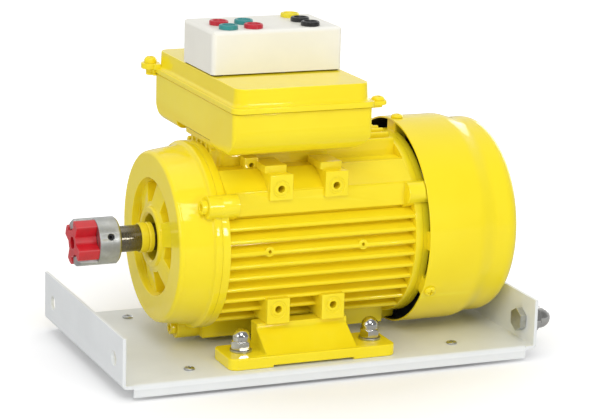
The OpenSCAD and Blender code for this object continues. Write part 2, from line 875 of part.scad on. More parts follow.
module drive_end_shield() {
    edge = 3;
    bead = 0.35;
    web_x = shield_front + recess_depth;
    flange_w = 5;
    seat_r = bearing_d / 2;
    housing_r = seat_r + 5;
    inner_x = shield_front + pit_depth + shield_wall;
    color(yellow) difference() {
        union() {
            on_axis() rotate_extrude() translate([shield_r - bead - edge, shield_front + edge]) circle(edge);
            turned([[boss_hole_r, boss_front + 1.5], [boss_hole_r + 1.5, boss_front],
                    [boss_r - 0.8, boss_front], [boss_r, boss_front + 0.8], [boss_r + 0.3, boss_front + 2],
                    [recess_r - 0.8, web_x], [recess_r, shield_front],
                    [shield_r - bead - edge, shield_front], [shield_r - bead - edge, shield_front + edge],
                    [shield_r - bead, shield_front + edge], [shield_r - bead, shield_front + edge + 0.8],
                    [shield_r, shield_front + edge + 1.2], [shield_r + 2.5, frame_x - flange_w - 2],
                    [shield_r + 3.3, frame_x - flange_w - 0.6], [ring_r - 0.7, frame_x - flange_w],
                    [ring_r, frame_x - flange_w + 0.7], [ring_r, frame_x - 0.3],
                    [ring_r - 0.3, frame_x], [spigot_r, frame_x],
                    [spigot_r, frame_x + spigot], [spigot_r - 4, frame_x + spigot],
                    [spigot_r - 4, inner_x], [housing_r, inner_x],
                    [housing_r, drive_bearing_x + bearing_w], [seat_r + fit_gap, drive_bearing_x + bearing_w],
                    [seat_r + fit_gap, drive_bearing_x], [boss_hole_r, drive_bearing_x]]);
            shield_lugs(frame_x - shield_lug_l, shield_lug_l);
        }
        shield_holes(frame_x - shield_lug_l - 1, shield_lug_l + 2);
        round_axis([for (k = [0 : 5]) pit_turn + 60 * k]) intersection() {
            tube(shield_front, pit_depth, recess_r - 1.2, boss_r + 3.5);
            section(shield_front, pit_depth)
                polygon([[-boss_r, -3], [-boss_r, 3], [-recess_r, 13], [-recess_r, -13]]);
        }
    }
}

module rear_end_shield() {
    seat_r = bearing_d / 2;
    housing_r = seat_r + 5;
    flange_w = 6;
    drum_r = bore_r + 4;
    web_x = frame_end + 4;
    color(yellow) difference() {
        union() {
            turned([[spigot_r - 4, frame_end - spigot], [spigot_r, frame_end - spigot], [spigot_r, frame_end],
                    [ring_r, frame_end], [ring_r, frame_end + flange_w - 1],
                    [drum_r + 1, frame_end + flange_w],
                    [drum_r, frame_end + flange_w + 2],
                    [drum_r - 4, frame_end + flange_w + 5], [housing_r + 3, rear_end],
                    [seat_d / 2 + 3, rear_end], [seat_d / 2 + 3, rear_end - 3],
                    [seat_r + fit_gap, rear_end - 3], [seat_r + fit_gap, rear_bearing_x],
                    [housing_r, rear_bearing_x], [housing_r, web_x], [spigot_r - 4, web_x]]);
            intersection() {
                shield_lugs(frame_end, rear_lug_l);
                bar(frame_end - 1, shield_lug_l, cover_in - air);
            }
            round_axis(concat(cover_angles, rest_angles)) cover_tab();
        }
        shield_holes(frame_end - 1, shield_lug_l);
        round_axis(cover_angles) cover_hole(cover_screw_d / 2 + fit_gap);
        round_axis([45, 225]) bar_at(frame_end, plate_post, 10, 1.5 + fit_gap);
    }
}
plate_post = 40;

// A bar parallel to the axis on the near side at radius r_at
module bar_at(x, r_at, l, r) {
    on_axis(x) translate([0, -r_at, 0]) cylinder(h = l, r = r);
}

// A tab on the near side that carries the fan cover
tab_w = 14;
tab_x = cover_front + 1.5;
tab_l = 9;
cover_in = cover_r - cover_t;

module cover_tab() {
    intersection() {
        translate([tab_x, -cover_r, axis_z - tab_w / 2]) cube([tab_l, cover_r - bore_r, tab_w]);
        bar(tab_x - 1, tab_l + 2, cover_in - fit_gap);
    }
    translate([frame_end, -ring_r + 1, axis_z - tab_w / 2]) cube([tab_x - frame_end + tab_l, 12, tab_w]);
}

module cover_hole(r) {
    translate([tab_x + tab_l / 2, -cover_r - 1, axis_z]) rotate([-90, 0, 0]) cylinder(h = 13, r = r);
}

// The screws of one end; way is 1 when they point along +X
module shield_screw_set(x, way, l) {
    head_h = 4;
    head_r = 5;
    round_axis(lug_angles) translate([x, -lug_circle, axis_z]) rotate([0, 90 * way, 0]) difference() {
        union() {
            translate([0, 0, -head_h]) cylinder(h = head_h, r = head_r);
            translate([0, 0, -eps]) cylinder(h = l + 8, d = shield_screw_d);
        }
        translate([0, 0, -head_h - eps]) hex(5, 2.5);
    }
}

module drive_shield_screws() {
    color(yellow) shield_screw_set(frame_x - shield_lug_l, 1, shield_lug_l);
}

module rear_shield_screws() {
    color(zinc) shield_screw_set(frame_end + rear_lug_l, -1, rear_lug_l);
}

// Bearings

module bearing_outer_races() {
    color(steel) for (x = [drive_bearing_x, rear_bearing_x]) difference() {
        tube(x, bearing_w, bearing_d / 2, bearing_d / 2 - race_t);
        race_groove(x);
    }
}

module bearing_inner_races() {
    color(steel) for (x = [drive_bearing_x, rear_bearing_x]) difference() {
        tube(x, bearing_w, seat_d / 2 + fit_gap + race_t, seat_d / 2 + fit_gap);
        race_groove(x);
    }
}

ball_circle = (bearing_d + seat_d) / 4;

module race_groove(x) {
    on_axis(x + bearing_w / 2) rotate_extrude() translate([ball_circle, 0]) circle(ball_r + fit_gap);
}

module bearing_balls() {
    color(zinc) for (x = [drive_bearing_x, rear_bearing_x])
        on_axis(x + bearing_w / 2) for (k = [0 : ball_count - 1])
            rotate([0, 0, 360 / ball_count * k]) translate([ball_circle, 0, 0]) sphere(ball_r - 0.2);
}

module wave_washer() {
    color(steel) tube(rear_bearing_x + bearing_w, 1, bearing_d / 2 - 0.2, bearing_d / 2 - 4);
}

// Shaft and rotor

key_w = 6;
key_l = 12;
key_x = hub_front + 2;

module rotor_shaft() {
    neck_x = boss_front + 2;
    drive_seat_end = drive_bearing_x + bearing_w;
    color(steel) difference() {
        turned([[0, shaft_tip], [shaft_d / 2 - 1, shaft_tip], [shaft_d / 2, shaft_tip + 1],
                [shaft_d / 2, neck_x], [seat_d / 2, neck_x], [seat_d / 2, drive_seat_end],
                [rotor_shaft_d / 2, drive_seat_end], [rotor_shaft_d / 2, rear_bearing_x],
                [seat_d / 2, rear_bearing_x], [seat_d / 2, rear_bearing_x + bearing_w],
                [fan_seat_d / 2, rear_bearing_x + bearing_w], [fan_seat_d / 2, shaft_rear - 1],
                [fan_seat_d / 2 - 1, shaft_rear], [0, shaft_rear]]);
        translate([key_x, -key_w / 2, axis_z + shaft_d / 2 - 3.5]) cube([key_l, key_w, 6]);
        tube(fan_x + fan_hub_l + 0.2, 1.2, fan_seat_d, fan_seat_d / 2 - 0.7);
    }
}

module shaft_key() {
    color(steel) translate([key_x + fit_gap, -key_w / 2 + fit_gap, axis_z + shaft_d / 2 - 3.5 + fit_gap])
        cube([key_l - 2 * fit_gap, key_w - 2 * fit_gap, 6 - 2 * fit_gap]);
}

module rotor_bars(r, extra) {
    on_axis(core_front - extra) for (k = [0 : bar_count - 1])
        rotate([0, 0, 360 / bar_count * k]) translate([bar_circle, 0, 0])
            cylinder(h = core_l + 2 * extra, r = r);
}

module rotor_core() {
    color("#7d8083") difference() {
        tube(core_front, core_l, rotor_r, rotor_shaft_d / 2 + fit_gap);
        rotor_bars(bar_r + fit_gap, 1);
    }
}

module rotor_cage() {
    color("#c4c7c9") {
        for (x = [core_front - ring_l, core_back])
            tube(x, ring_l, bar_circle + bar_r + 1, bar_circle - bar_r - 4);
        rotor_bars(bar_r, 1);
    }
}

module shaft_seal() {
    back = boss_front + 1;
    front = back - 9.5;
    r = seat_d / 2 + 0.9;
    color(yellow) turned([[shaft_d / 2 + fit_gap, front], [r - 0.5, front], [r, front + 1],
        [r, back - 4.4], [r - 0.6, back - 4], [r - 0.6, back - 3.4], [r, back - 3], [r, back],
        [shaft_d / 2 + fit_gap, back]]);
}

// Coupling

jaw_w = 12;
jaw_in = shaft_d / 2 + 0.5;

module coupling_hub() {
    r = coupling_d / 2;
    chamfer = 1.5;
    color("#bfc3c4") difference() {
        union() {
            turned([[shaft_d / 2 + fit_gap, hub_front], [r, hub_front], [r, hub_back - chamfer],
                    [r - chamfer, hub_back], [shaft_d / 2 + fit_gap, hub_back]]);
            round_axis([coupling_turn]) for (s = [-1, 1]) intersection() {
                turned([[0, jaw_tip], [r - chamfer, jaw_tip], [r, jaw_tip + chamfer], [r, hub_front + 1],
                        [0, hub_front + 1]]);
                translate([jaw_tip - 1, -jaw_w / 2, s > 0 ? axis_z + jaw_in : axis_z - jaw_in - r])
                    cube([jaw_l + 2, jaw_w, r]);
            }
        }
        translate([key_x, -key_w / 2, axis_z]) cube([hub_l, key_w, shaft_d / 2 + 2.5]);
        round_axis([coupling_turn]) translate([grub_x, -r - 1, axis_z]) rotate([-90, 0, 0])
            cylinder(h = r + 1, d = grub_d);
    }
}
grub_x = hub_front + hub_l * 0.5;

module coupling_grub_screw() {
    r = coupling_d / 2;
    deep = r - shaft_d / 2 - fit_gap;
    color(dark) round_axis([coupling_turn])
        translate([grub_x, -r + 1.8, axis_z]) rotate([-90, 0, 0]) difference() {
        cylinder(h = deep - 1.8 - fit_gap, r = grub_d / 2 - fit_gap);
        translate([0, 0, -eps]) hex(grub_d / 2, 2.5);
    }
}

module coupling_spider() {
    r = coupling_d / 2 - 0.4;
    arm_w = 8.5;
    hollow_r = 4.5;
    tip = spider_tip;
    color("#d2202a") round_axis([coupling_turn]) difference() {
        intersection() {
            bar(tip, hub_front - tip - fit_gap, r);
            union() {
                bar(tip, hub_front - tip, 9);
                round_axis([45, 135, 225, 315])
                    translate([tip, -r - 1, axis_z - arm_w / 2]) cube([hub_front - tip, r + 1, arm_w]);
            }
        }
        bar(tip - 1, jaw_l + 4, hollow_r);
        for (s = [-1, 1])
            translate([tip - 1, -jaw_w / 2 - 0.2, s > 0 ? axis_z + jaw_in - 0.2 : axis_z - jaw_in - 19.8])
                cube([jaw_l + 4, jaw_w + 0.4, 20]);
    }
}

// Fan and its cover

module cooling_fan() {
    blades = 8;
    blade_t = 2.5;
    hub_r = 16;
    disc_r = fan_r * 0.55;
    color(dark) difference() {
        union() {
            bar(fan_x, fan_hub_l, hub_r);
            tube(fan_x, 2.5, disc_r, fan_seat_d / 2);
            on_axis(fan_x) for (k = [0 : blades - 1]) rotate([0, 0, 360 / blades * k])
                translate([hub_r - 2, -blade_t / 2, 0]) cube([fan_r - hub_r + 2, blade_t, fan_w]);
        }
        bar(fan_x - 1, fan_w + 2, fan_seat_d / 2 + fit_gap);
    }
}

module fan_clip() {
    color(steel) difference() {
        tube(fan_x + fan_hub_l + 0.25, 1, fan_seat_d / 2 + 2.5, fan_seat_d / 2 - 0.6);
        translate([fan_x, -2, axis_z - 20]) cube([fan_hub_l + 5, 4, 20]);
    }
}

// The fan cover's outline as radius and station, drawn in by t
module cover_outline(t, step_x, step_l) {
    r = cover_rear_r - t;
    edge = cover_edge_r - t;
    back = cover_back - t;
    front = cover_front - t;
    drop = cover_r - cover_rear_r;
    polygon(concat([[0, front], [cover_r - t, front]],
                   [for (u = [0 : 0.125 : 1])
                       [cover_r - t - drop * u * u * (3 - 2 * u), step_x + step_l * u]],
                   [[r, back - edge], [r - edge, back - edge], [r - edge, back], [0, back]]));
    intersection() {
        translate([r - edge, back - edge]) circle(edge);
        translate([r - edge, back - edge]) square(edge);
    }
}

module fan_cover() {
    step_x = cover_front + skirt_l;
    step_l = 16;
    ring_step = 7;
    slot_w = 4;
    spoke_w = 5;
    color(yellow) difference() {
        on_axis() rotate_extrude() difference() {
            cover_outline(0, step_x, step_l);
            cover_outline(cover_t, step_x, step_l);
        }
        on_axis(cover_back - cover_t - 1) linear_extrude(cover_t + 2) difference() {
            for (r = [14 : ring_step : 56]) difference() {
                circle(r + slot_w / 2);
                circle(r - slot_w / 2);
            }
            for (a = [0, 60, 120]) rotate(a) square([2 * cover_r, spoke_w], center = true);
        }
        round_axis(cover_angles) cover_hole(cover_screw_d / 2 + bolt_gap);
    }
}

module fan_cover_screws() {
    color(yellow) round_axis(cover_angles)
        translate([tab_x + tab_l / 2, -cover_r - fit_gap, axis_z]) rotate([90, 0, 0])
            pan_screw(cover_screw_d, 10, 9, 2.6);
}

// Centrifugal governor and its switch

module governor_base() {
    color("#a88f4a") difference() {
        union() {
            bar(governor_x, disc_t, disc_r);
            bar(governor_x, sleeve_l, sleeve_r);
            for (s = [-1, 1], y = [-1, 1])
                translate([governor_x, y * (weight_w / 2 + 2.5) - 1, axis_z + s * (weight_in + 2) - 3])
                    cube([disc_t + 4, 2, 6]);
        }
        bar(governor_x - 1, sleeve_l + 2, rotor_shaft_d / 2 + fit_gap);
        governor_pivot_holes();
    }
}

module governor_pivot_holes() {
    for (s = [-1, 1])
        translate([weight_pivot_x, -weight_w, axis_z + s * (weight_in + 2)]) rotate([-90, 0, 0])
            cylinder(h = 2 * weight_w, r = pivot_r + fit_gap);
}

module governor_collar() {
    color("#d9c27a") tube(collar_x, collar_l, collar_r, sleeve_r + 0.06);
}

// A flyweight above the shaft, on its pivot pin
module flyweight() {
    pin_l = weight_w + 7.5;
    tall = weight_out - weight_in;
    translate([weight_pivot_x, weight_w / 2, axis_z + weight_in]) rotate([90, 0, 0])
        linear_extrude(weight_w)
            polygon([[-1.5, 0], [weight_l, 0], [weight_l, tall], [2.5, tall], [-1.5, 4]]);
    translate([weight_pivot_x, -pin_l / 2, axis_z + weight_in + 2]) rotate([-90, 0, 0])
        cylinder(h = pin_l, r = pivot_r);
}

module governor_weight_upper() {
    color("#9a9ea1") flyweight();
}

module governor_weight_lower() {
    color("#9a9ea1") translate([0, 0, 2 * axis_z]) mirror([0, 0, 1]) flyweight();
}

module switch_plate() {
    color("#6b3b22") {
        difference() {
            bar(plate_x, switch_t, switch_r);
            bar(plate_x - 1, switch_t + 2, collar_r + 4);
        }
        round_axis([45, 225])
            bar_at(plate_x + switch_t - eps, plate_post, frame_end + 4 - plate_x - switch_t + eps, 3);
        for (y = [-1, 1]) translate([leaf_x - 1.5, y * (leaf_w / 2 + 1.7) - 1, axis_z + leaf_pivot - 3])
            cube([plate_x - leaf_x + 1.5 + eps, 2, 6]);
    }
}

module contact_leaf() {
    tip = collar_r - 3;
    color("#c98f3c") {
        translate([leaf_x, -leaf_w / 2, axis_z + tip]) cube([leaf_t, leaf_w, leaf_pivot - tip]);
        translate([leaf_x + leaf_t / 2, -leaf_w / 2, axis_z + leaf_pivot]) rotate([-90, 0, 0])
            cylinder(h = leaf_w, r = 1.2);
    }
}

// Terminal box

// A box's round lower edges in section, from their radii left and right and wider than the box above
module soft_foot(w, low, top, left_r, right_r) {
    translate([-w / 2 + left_r, low]) square([w - left_r - right_r, top - low]);
    polygon([[-w, low + left_r], [0, low + left_r], [0, low + right_r],
             [w, low + right_r], [w, top], [-w, top]]);
    translate([-w / 2 + left_r - 0.05, low + left_r]) circle(left_r);
    translate([w / 2 - right_r + 0.05, low + right_r]) circle(right_r);
}

// The box's outside, drawn in by t for the hollow
module box_form(t) {
    l = box_l - 2 * t;
    w = box_w - 2 * t;
    low = box_low + t;
    top = box_rim + (t > 0 ? 2 : 0);
    translate([box_mid, box_y, 0]) intersection() {
        translate([0, 0, low - 1]) linear_extrude(top - low + 1) round_rect(l, w, box_corner_r - min(t, 3));
        rotate([90, 0, 90]) translate([0, 0, -l])
            linear_extrude(2 * l) soft_foot(w, low, top + 1, box_edge_r - t, box_edge_r - t);
        rotate([90, 0, 0]) translate([0, 0, -w])
            linear_extrude(2 * w) soft_foot(l, low, top + 1, box_front_r - t, box_fan_r - t);
    }
}

module terminal_box_gasket() {
    color(dark) difference() {
        translate([neck_mid, 0, neck_top]) linear_extrude(box_gasket_t) neck_flange();
        translate([neck_mid, 0, neck_top - 1]) cylinder(h = box_gasket_t + 2, d = cable_hole_d);
        at_box_screws(neck_top - 1) cylinder(h = box_gasket_t + 2, r = box_screw_d / 2 + bolt_gap);
    }
}

// An ear at the lid's near screw, joined back to the wall
module near_ear_form(z, h, r) {
    reach = ear_out + lid_over + box_wall - 1;
    translate([near_ear[0], near_ear[1], z]) {
        cylinder(h = h, r = r);
        translate([-reach, -r, 0]) cube([reach, 2 * r, h]);
    }
}

// An ear at the lid's far screw, on the corner
module far_ear_form(z, h, r) {
    reach = 5;
    translate([far_ear[0], far_ear[1], z]) {
        cylinder(h = h, r = r);
        translate([0, -r - 3, 0]) cube([reach, r + 3, h]);
    }
}

// Bars at the two lid screws, from z over length h
module at_ears(z, h, r) {
    for (e = [near_ear, far_ear]) translate([e[0], e[1], z]) cylinder(h = h, r = r);
}

module terminal_box() {
    lug_t = 1.8;
    lug_low = lid_low - 0.2 - lug_t;
    floor_z = box_seat + box_wall;
    color(yellow) difference() {
        union() {
            difference() {
                box_form(0);
                difference() {
                    box_form(box_wall);
                    translate([box_mid - box_l, -channel_w / 2 - box_wall, 0])
                        cube([2 * box_l, channel_w + 2 * box_wall, floor_z]);
                }
                translate([box_mid - box_l, -channel_w / 2, box_seat - 20])
                    cube([2 * box_l, channel_w, 20]);
            }
            difference() {
                union() {
                    near_ear_form(lug_low, lug_t, ear_lug_r);
                    far_ear_form(lug_low, lug_t, ear_lug_r);
                }
                translate([box_mid, box_y, box_rim])
                    linear_extrude(lug_t) round_rect(box_l + 0.4, box_w + 0.4, box_corner_r);
            }
        }
        translate([neck_mid, 0, box_seat - 1]) cylinder(h = box_wall + 2, d = cable_hole_d);
        at_box_screws(box_seat - 1) cylinder(h = box_wall + 2, r = box_screw_d / 2 + bolt_gap);
        at_ears(lug_low - 1, lug_t + 2, lid_screw_d / 2 + fit_gap);
    }
}

module terminal_box_screws() {
    color(zinc) at_box_screws(box_seat + box_wall)
        pan_screw(box_screw_d, box_wall + box_gasket_t + box_screw_in, box_screw_head_d, 3);
}

module lid_gasket() {
    color(dark) translate([box_mid, box_y, box_rim]) linear_extrude(lid_gasket_t) difference() {
        round_rect(box_l - 2 * lid_gasket_in, box_w - 2 * lid_gasket_in, box_corner_r - lid_gasket_in);
        round_rect(box_l - 2 * box_wall, box_w - 2 * box_wall, box_corner_r - lid_gasket_in);
    }
}

// A raised form on the lid's plan, from its wall's points: how far in from the rim, and how high
module lid_form(wall) {
    low = wall[0][1];
    high = wall[len(wall) - 1][1];
    core_x = lid_l / 2 - lid_turn_r;
    core_y = lid_w / 2 - lid_turn_r;
    translate([box_mid, box_y, 0]) {
        rotate([90, 0, 90]) translate([0, 0, -core_x])
            linear_extrude(2 * core_x) lid_section(lid_w / 2, wall);
        rotate([90, 0, 0]) translate([0, 0, -core_y])
            linear_extrude(2 * core_y) lid_section(lid_l / 2, wall);
        for (x = [-1, 1], y = [-1, 1]) translate([x * core_x, y * core_y, 0]) rotate_extrude()
            polygon(concat([[0, low]], [for (p = wall) [lid_turn_r - p[0], p[1]]], [[0, high]]));
    }
}

// The lid's form in section, on both sides of its middle
module lid_section(half, wall) {
    for (s = [0, 1]) mirror([s, 0])
        polygon(concat([[-1, wall[0][1]]], [for (p = wall) [half - p[0], p[1]]],
                       [[-1, wall[len(wall) - 1][1]]]));
}

module terminal_box_lid() {
    ledge = lid_low + lid_rim;
    cove = [for (a = [0 : 15 : 90]) [lid_in - lid_cove * (1 - sin(a)), ledge + lid_cove * (1 - cos(a))]];
    color(yellow) difference() {
        union() {
            translate([box_mid, box_y, lid_low])
                linear_extrude(lid_rim) round_rect(lid_l, lid_w, lid_corner_r);
            lid_form(concat([[lid_in - lid_cove, lid_low]], cove, [[lid_in + lid_lean, lid_top]]));
            near_ear_form(lid_low, near_ear_t, near_ear_r);
            far_ear_form(lid_low + far_ear_lift, far_ear_t, far_ear_r);
            far_ear_form(lid_low, far_ear_lift + 1, ear_lug_r);
        }
        lid_form([[lid_in + box_wall - 0.5, lid_low - 1],
                  [lid_in + lid_lean + box_wall, lid_top - box_wall]]);
        at_ears(lid_low - 1, lid_h, lid_screw_d / 2 + bolt_gap);
        at_posts() translate([0, 0, lid_top - box_wall - 1])
            cylinder(h = box_wall + 2, r = socket_screw_d / 2 + bolt_gap);
        translate([socket_box_mid, 0, lid_top - box_wall - 1]) cylinder(h = box_wall + 2, d = cable_hole_d);
    }
}

module lid_screws() {
    color(yellow) {
        translate([near_ear[0], near_ear[1], near_ear_top])
            pan_screw(lid_screw_d, near_ear_top - box_rim + 0.8, 9.5, 2.8);
        translate([far_ear[0], far_ear[1], far_ear_top])
            pan_screw(lid_screw_d, far_ear_top - box_rim + 0.8, 9.5, 4.5);
    }
}

module start_capacitor() {
    edge = 1.5;
    tab_l = 8;
    color("#3a3d42") translate([capacitor_x, capacitor_y, capacitor_z]) rotate([0, 90, 0]) {
        rotate_extrude() polygon([[0, 0], [capacitor_r - edge, 0], [capacitor_r, edge],
            [capacitor_r, capacitor_l - edge], [capacitor_r - edge, capacitor_l], [0, capacitor_l]]);
        for (y = [-6, 6]) translate([-0.4, y - 3, capacitor_l - eps]) cube([0.8, 6, tab_l]);
    }
}

module capacitor_strap() {
    strap_w = 14;
    strap_t = 1.2;
    foot = 11;
    hook = 8;
    r_in = capacitor_r + 0.4;
    r_out = r_in + strap_t;
    drop = capacitor_z - box_seat - box_wall;
    color(steel) translate([box_mid - 5 - strap_w / 2, capacitor_y, capacitor_z]) rotate([90, 0, 90])
        linear_extrude(strap_w)
            polygon(concat([[r_out, -hook]],
                           [for (a = [0 : 15 : 180]) [r_out * cos(a), r_out * sin(a)]],
                           [[-r_out, strap_t - drop], [-r_out - foot, strap_t - drop],
                            [-r_out - foot, -drop], [-r_in, -drop]],
                           [for (a = [180 : -15 : 0]) [r_in * cos(a), r_in * sin(a)]],
                           [[r_in, -hook]]));
}

module terminal_block() {
    block_l = 40;
    block_w = 20;
    block_h = 14;
    block_gap = 0.75;
    block_x = neck_mid + box_screw_x - box_screw_head_d / 2 - block_gap - block_w / 2;
    color("#e6e2cf") translate([block_x, -block_l / 2, box_seat + box_wall]) difference() {
        translate([-block_w / 2, 0, 0]) cube([block_w, block_l, block_h]);
        for (k = [0 : 2]) translate([-block_w / 2 - 1, 4 + 11.5 * k, block_h - 6]) cube([block_w + 2, 9, 10]);
    }
}

// Socket box

module at_posts() {
    for (y = [-1, 1]) translate([socket_box_mid + post_x, y * post_y, 0]) children();
}

// A block's round upper edges in section, wider than the block below them
module soft_top(w, h, r) {
    translate([-w, -1]) square([2 * w, h - r + 1]);
    translate([-w / 2 + r, 0]) square([w - 2 * r, h]);
    for (s = [-1, 1]) translate([s * (w / 2 - r + 0.05), h - r]) circle(r);
}

module socket_box_spacers() {
    color(dark) for (x = [-1, 1], y = [-1, 1])
        translate([socket_box_mid + x * spacer_x, y * spacer_y, lid_top])
            cylinder(h = spacer_h, r = spacer_r);
}

module socket_box() {
    r = socket_edge_r;
    hollow_l = socket_box_l - 2 * socket_box_t;
    hollow_w = socket_box_w - 2 * socket_box_t;
    color(cream) difference() {
        union() {
            difference() {
                translate([socket_box_mid, 0, socket_box_low]) intersection() {
                    linear_extrude(socket_box_h + 1) round_rect(socket_box_l, socket_box_w, r);
                    rotate([90, 0, 90]) translate([0, 0, -socket_box_l])
                        linear_extrude(2 * socket_box_l) soft_top(socket_box_w, socket_box_h, r);
                    rotate([90, 0, 0]) translate([0, 0, -socket_box_w])
                        linear_extrude(2 * socket_box_w) soft_top(socket_box_l, socket_box_h, r);
                }
                translate([socket_box_mid - hollow_l / 2, -hollow_w / 2, socket_box_low - 1])
                    cube([hollow_l, hollow_w, socket_box_h - socket_box_t + 1]);
            }
            at_posts() translate([0, 0, socket_box_low]) cylinder(h = socket_box_h - 1, r = post_r);
        }
        at_posts() translate([0, 0, socket_box_low - 1]) cylinder(h = 16, r = socket_screw_d / 2 + fit_gap);
        for (p = socket_places) translate([p[0], p[1], socket_box_top - socket_box_t - 1])
            cylinder(h = socket_box_t + 2, r = socket_body_r + fit_gap);
    }
}

module socket_box_screws() {
    color(zinc) at_posts() translate([0, 0, lid_top - box_wall]) rotate([180, 0, 0])
        pan_screw(socket_screw_d, box_wall + spacer_h + 12, 7, 2.3);
}

// An insulated socket standing in the box's top
module socket() {
    face = socket_box_top;
    low = face - socket_body_l;
    edge = 0.6;
    rotate_extrude()
        polygon([[contact_r + fit_gap, low], [socket_body_r, low], [socket_body_r, face],
                 [socket_d / 2, face], [socket_d / 2, face + socket_h - edge],
                 [socket_d / 2 - edge, face + socket_h], [socket_d / 2 - 1.8, face + socket_h],
                 [socket_d / 2 - 2.2, face + socket_h - 0.8], [contact_r + 0.8, face + socket_h - 0.8],
                 [contact_r + fit_gap, face + socket_h - 1.5]]);
}

module sockets(places) {
    for (p = places) translate([p[0], p[1], 0]) socket();
}

module red_sockets() {
    color("#c8203a") sockets(red_places);
}

module teal_sockets() {
    color("#45a0a0") sockets(teal_places);
}

module black_sockets() {
    color("#202020") sockets(black_places);
}

module yellow_socket() {
    color("#f7e93a") sockets(yellow_places);
}

module socket_contacts() {
    color("#c9a64a") for (p = socket_places) translate([p[0], p[1], contact_top - contact_l]) difference() {
        cylinder(h = contact_l, r = contact_r);
        translate([0, 0, -1]) cylinder(h = contact_l + 2, r = plug_d / 2);
    }
}

module socket_nuts() {
    color(dark) for (p = socket_places)
        translate([p[0], p[1], socket_box_top - socket_box_t - nut_h]) difference() {
            cylinder(h = nut_h, d = socket_d - 0.4);
            translate([0, 0, -1]) cylinder(h = nut_h + 2, r = socket_body_r + fit_gap);
            translate([-socket_d, -0.6, -1]) cube([2 * socket_d, 1.2, 2]);
        }
}

// Moves the model so that its box is centred on the origin
module place() {
    translate([centre_shift, 0, 0]) children();
}

place() base_plate();
place() base_feet();
place() base_foot_screws();
place() link_bolts();
place() link_washers();
place() link_nuts();
place() near_foot();
place() far_foot();
place() foot_bolts();
place() foot_washers();
place() foot_nuts();
place() foot_screws();
place() stator_frame();
place() stator_core();
place() main_winding();
place() start_winding();
place() drive_end_shield();
place() rear_end_shield();
place() drive_shield_screws();
place() rear_shield_screws();
place() bearing_outer_races();
place() bearing_balls();
place() bearing_inner_races();
place() wave_washer();
place() rotor_shaft();
place() rotor_core();
place() rotor_cage();
place() shaft_key();
place() shaft_seal();
place() coupling_hub();
place() coupling_spider();
place() coupling_grub_screw();
place() cooling_fan();
place() fan_clip();
place() fan_cover();
place() fan_cover_screws();
place() governor_base();
place() governor_collar();
place() governor_weight_upper();
place() governor_weight_lower();
place() switch_plate();
place() contact_leaf();
place() terminal_box_gasket();
place() terminal_box();
place() terminal_box_screws();
place() lid_gasket();
place() terminal_box_lid();
place() lid_screws();
place() start_capacitor();
place() capacitor_strap();
place() terminal_block();
place() socket_box_spacers();
place() socket_box();
place() socket_box_screws();
place() red_sockets();
place() teal_sockets();
place() black_sockets();
place() yellow_socket();
place() socket_contacts();
place() socket_nuts();
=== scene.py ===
"""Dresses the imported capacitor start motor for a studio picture.

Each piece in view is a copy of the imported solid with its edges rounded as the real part's are, and every
piece has the finish of the real material. X runs along the shaft, -Y is the near side.
"""
import json
import math

import bmesh
import bpy
from mathutils import Matrix, Vector
from mathutils.bvhtree import BVHTree
from mathutils.kdtree import KDTree


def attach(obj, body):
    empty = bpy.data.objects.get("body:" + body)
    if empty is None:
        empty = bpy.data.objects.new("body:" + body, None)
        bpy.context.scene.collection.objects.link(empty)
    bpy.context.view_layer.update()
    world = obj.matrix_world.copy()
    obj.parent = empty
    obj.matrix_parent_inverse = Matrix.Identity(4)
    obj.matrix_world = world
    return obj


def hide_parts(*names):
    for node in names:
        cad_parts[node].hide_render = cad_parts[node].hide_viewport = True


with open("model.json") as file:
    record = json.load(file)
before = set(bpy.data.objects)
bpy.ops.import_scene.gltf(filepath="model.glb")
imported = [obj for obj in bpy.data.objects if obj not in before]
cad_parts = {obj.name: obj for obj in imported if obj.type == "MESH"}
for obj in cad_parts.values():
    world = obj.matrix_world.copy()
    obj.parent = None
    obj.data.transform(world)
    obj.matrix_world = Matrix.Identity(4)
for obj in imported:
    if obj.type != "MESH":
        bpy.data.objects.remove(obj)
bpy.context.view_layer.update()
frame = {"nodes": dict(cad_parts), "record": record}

bl_info = {
    "name": "Capacitor start motor finish",
    "version": (1, 0, 0),
    "blender": (4, 5, 0),
    "location": "View3D > Sidebar > Motor",
    "description": "Rounds the motor's edges, paints its parts and sets the studio",
    "category": "Object",
}

MM = 0.001
NODE_BODY = {n: body for body, nodes in frame["record"]["behaviour"]["bodies"].items() for n in nodes}
NODE_SLOT = {n: frame["nodes"][n].data.materials[0].name for n in frame["nodes"]}

# Height of the shaft's axis, and the faces where the frame meets the two end shields
AXIS_HEIGHT = 91.5 * MM
FRONT_JOINT = -85.15 * MM
REAR_JOINT = 69.85 * MM

# The photograph's frame in pixels
PHOTO_W = 594
PHOTO_H = 419


def linear(code):
    """An sRGB hex colour as linear red, green and blue."""
    parts = [int(code[k:k + 2], 16) / 255 for k in (1, 3, 5)]
    return [c / 12.92 if c <= 0.04045 else ((c + 0.055) / 1.055) ** 2.4 for c in parts]


def colour(label, about, code):
    """A colour that a user may change."""
    return bpy.props.FloatVectorProperty(
        name=label, description=about, default=linear(code), size=3, min=0.0, max=1.0, subtype="COLOR")


def power(label, about, watts):
    """A lamp's power that a user may change."""
    return bpy.props.FloatProperty(name=label, description=about, default=watts, min=0.0, unit="POWER")


def length(label, about, millimetres):
    """A length that a user may change, kept in metres."""
    return bpy.props.FloatProperty(
        name=label, description=about, default=millimetres * MM, min=0.0, unit="LENGTH")


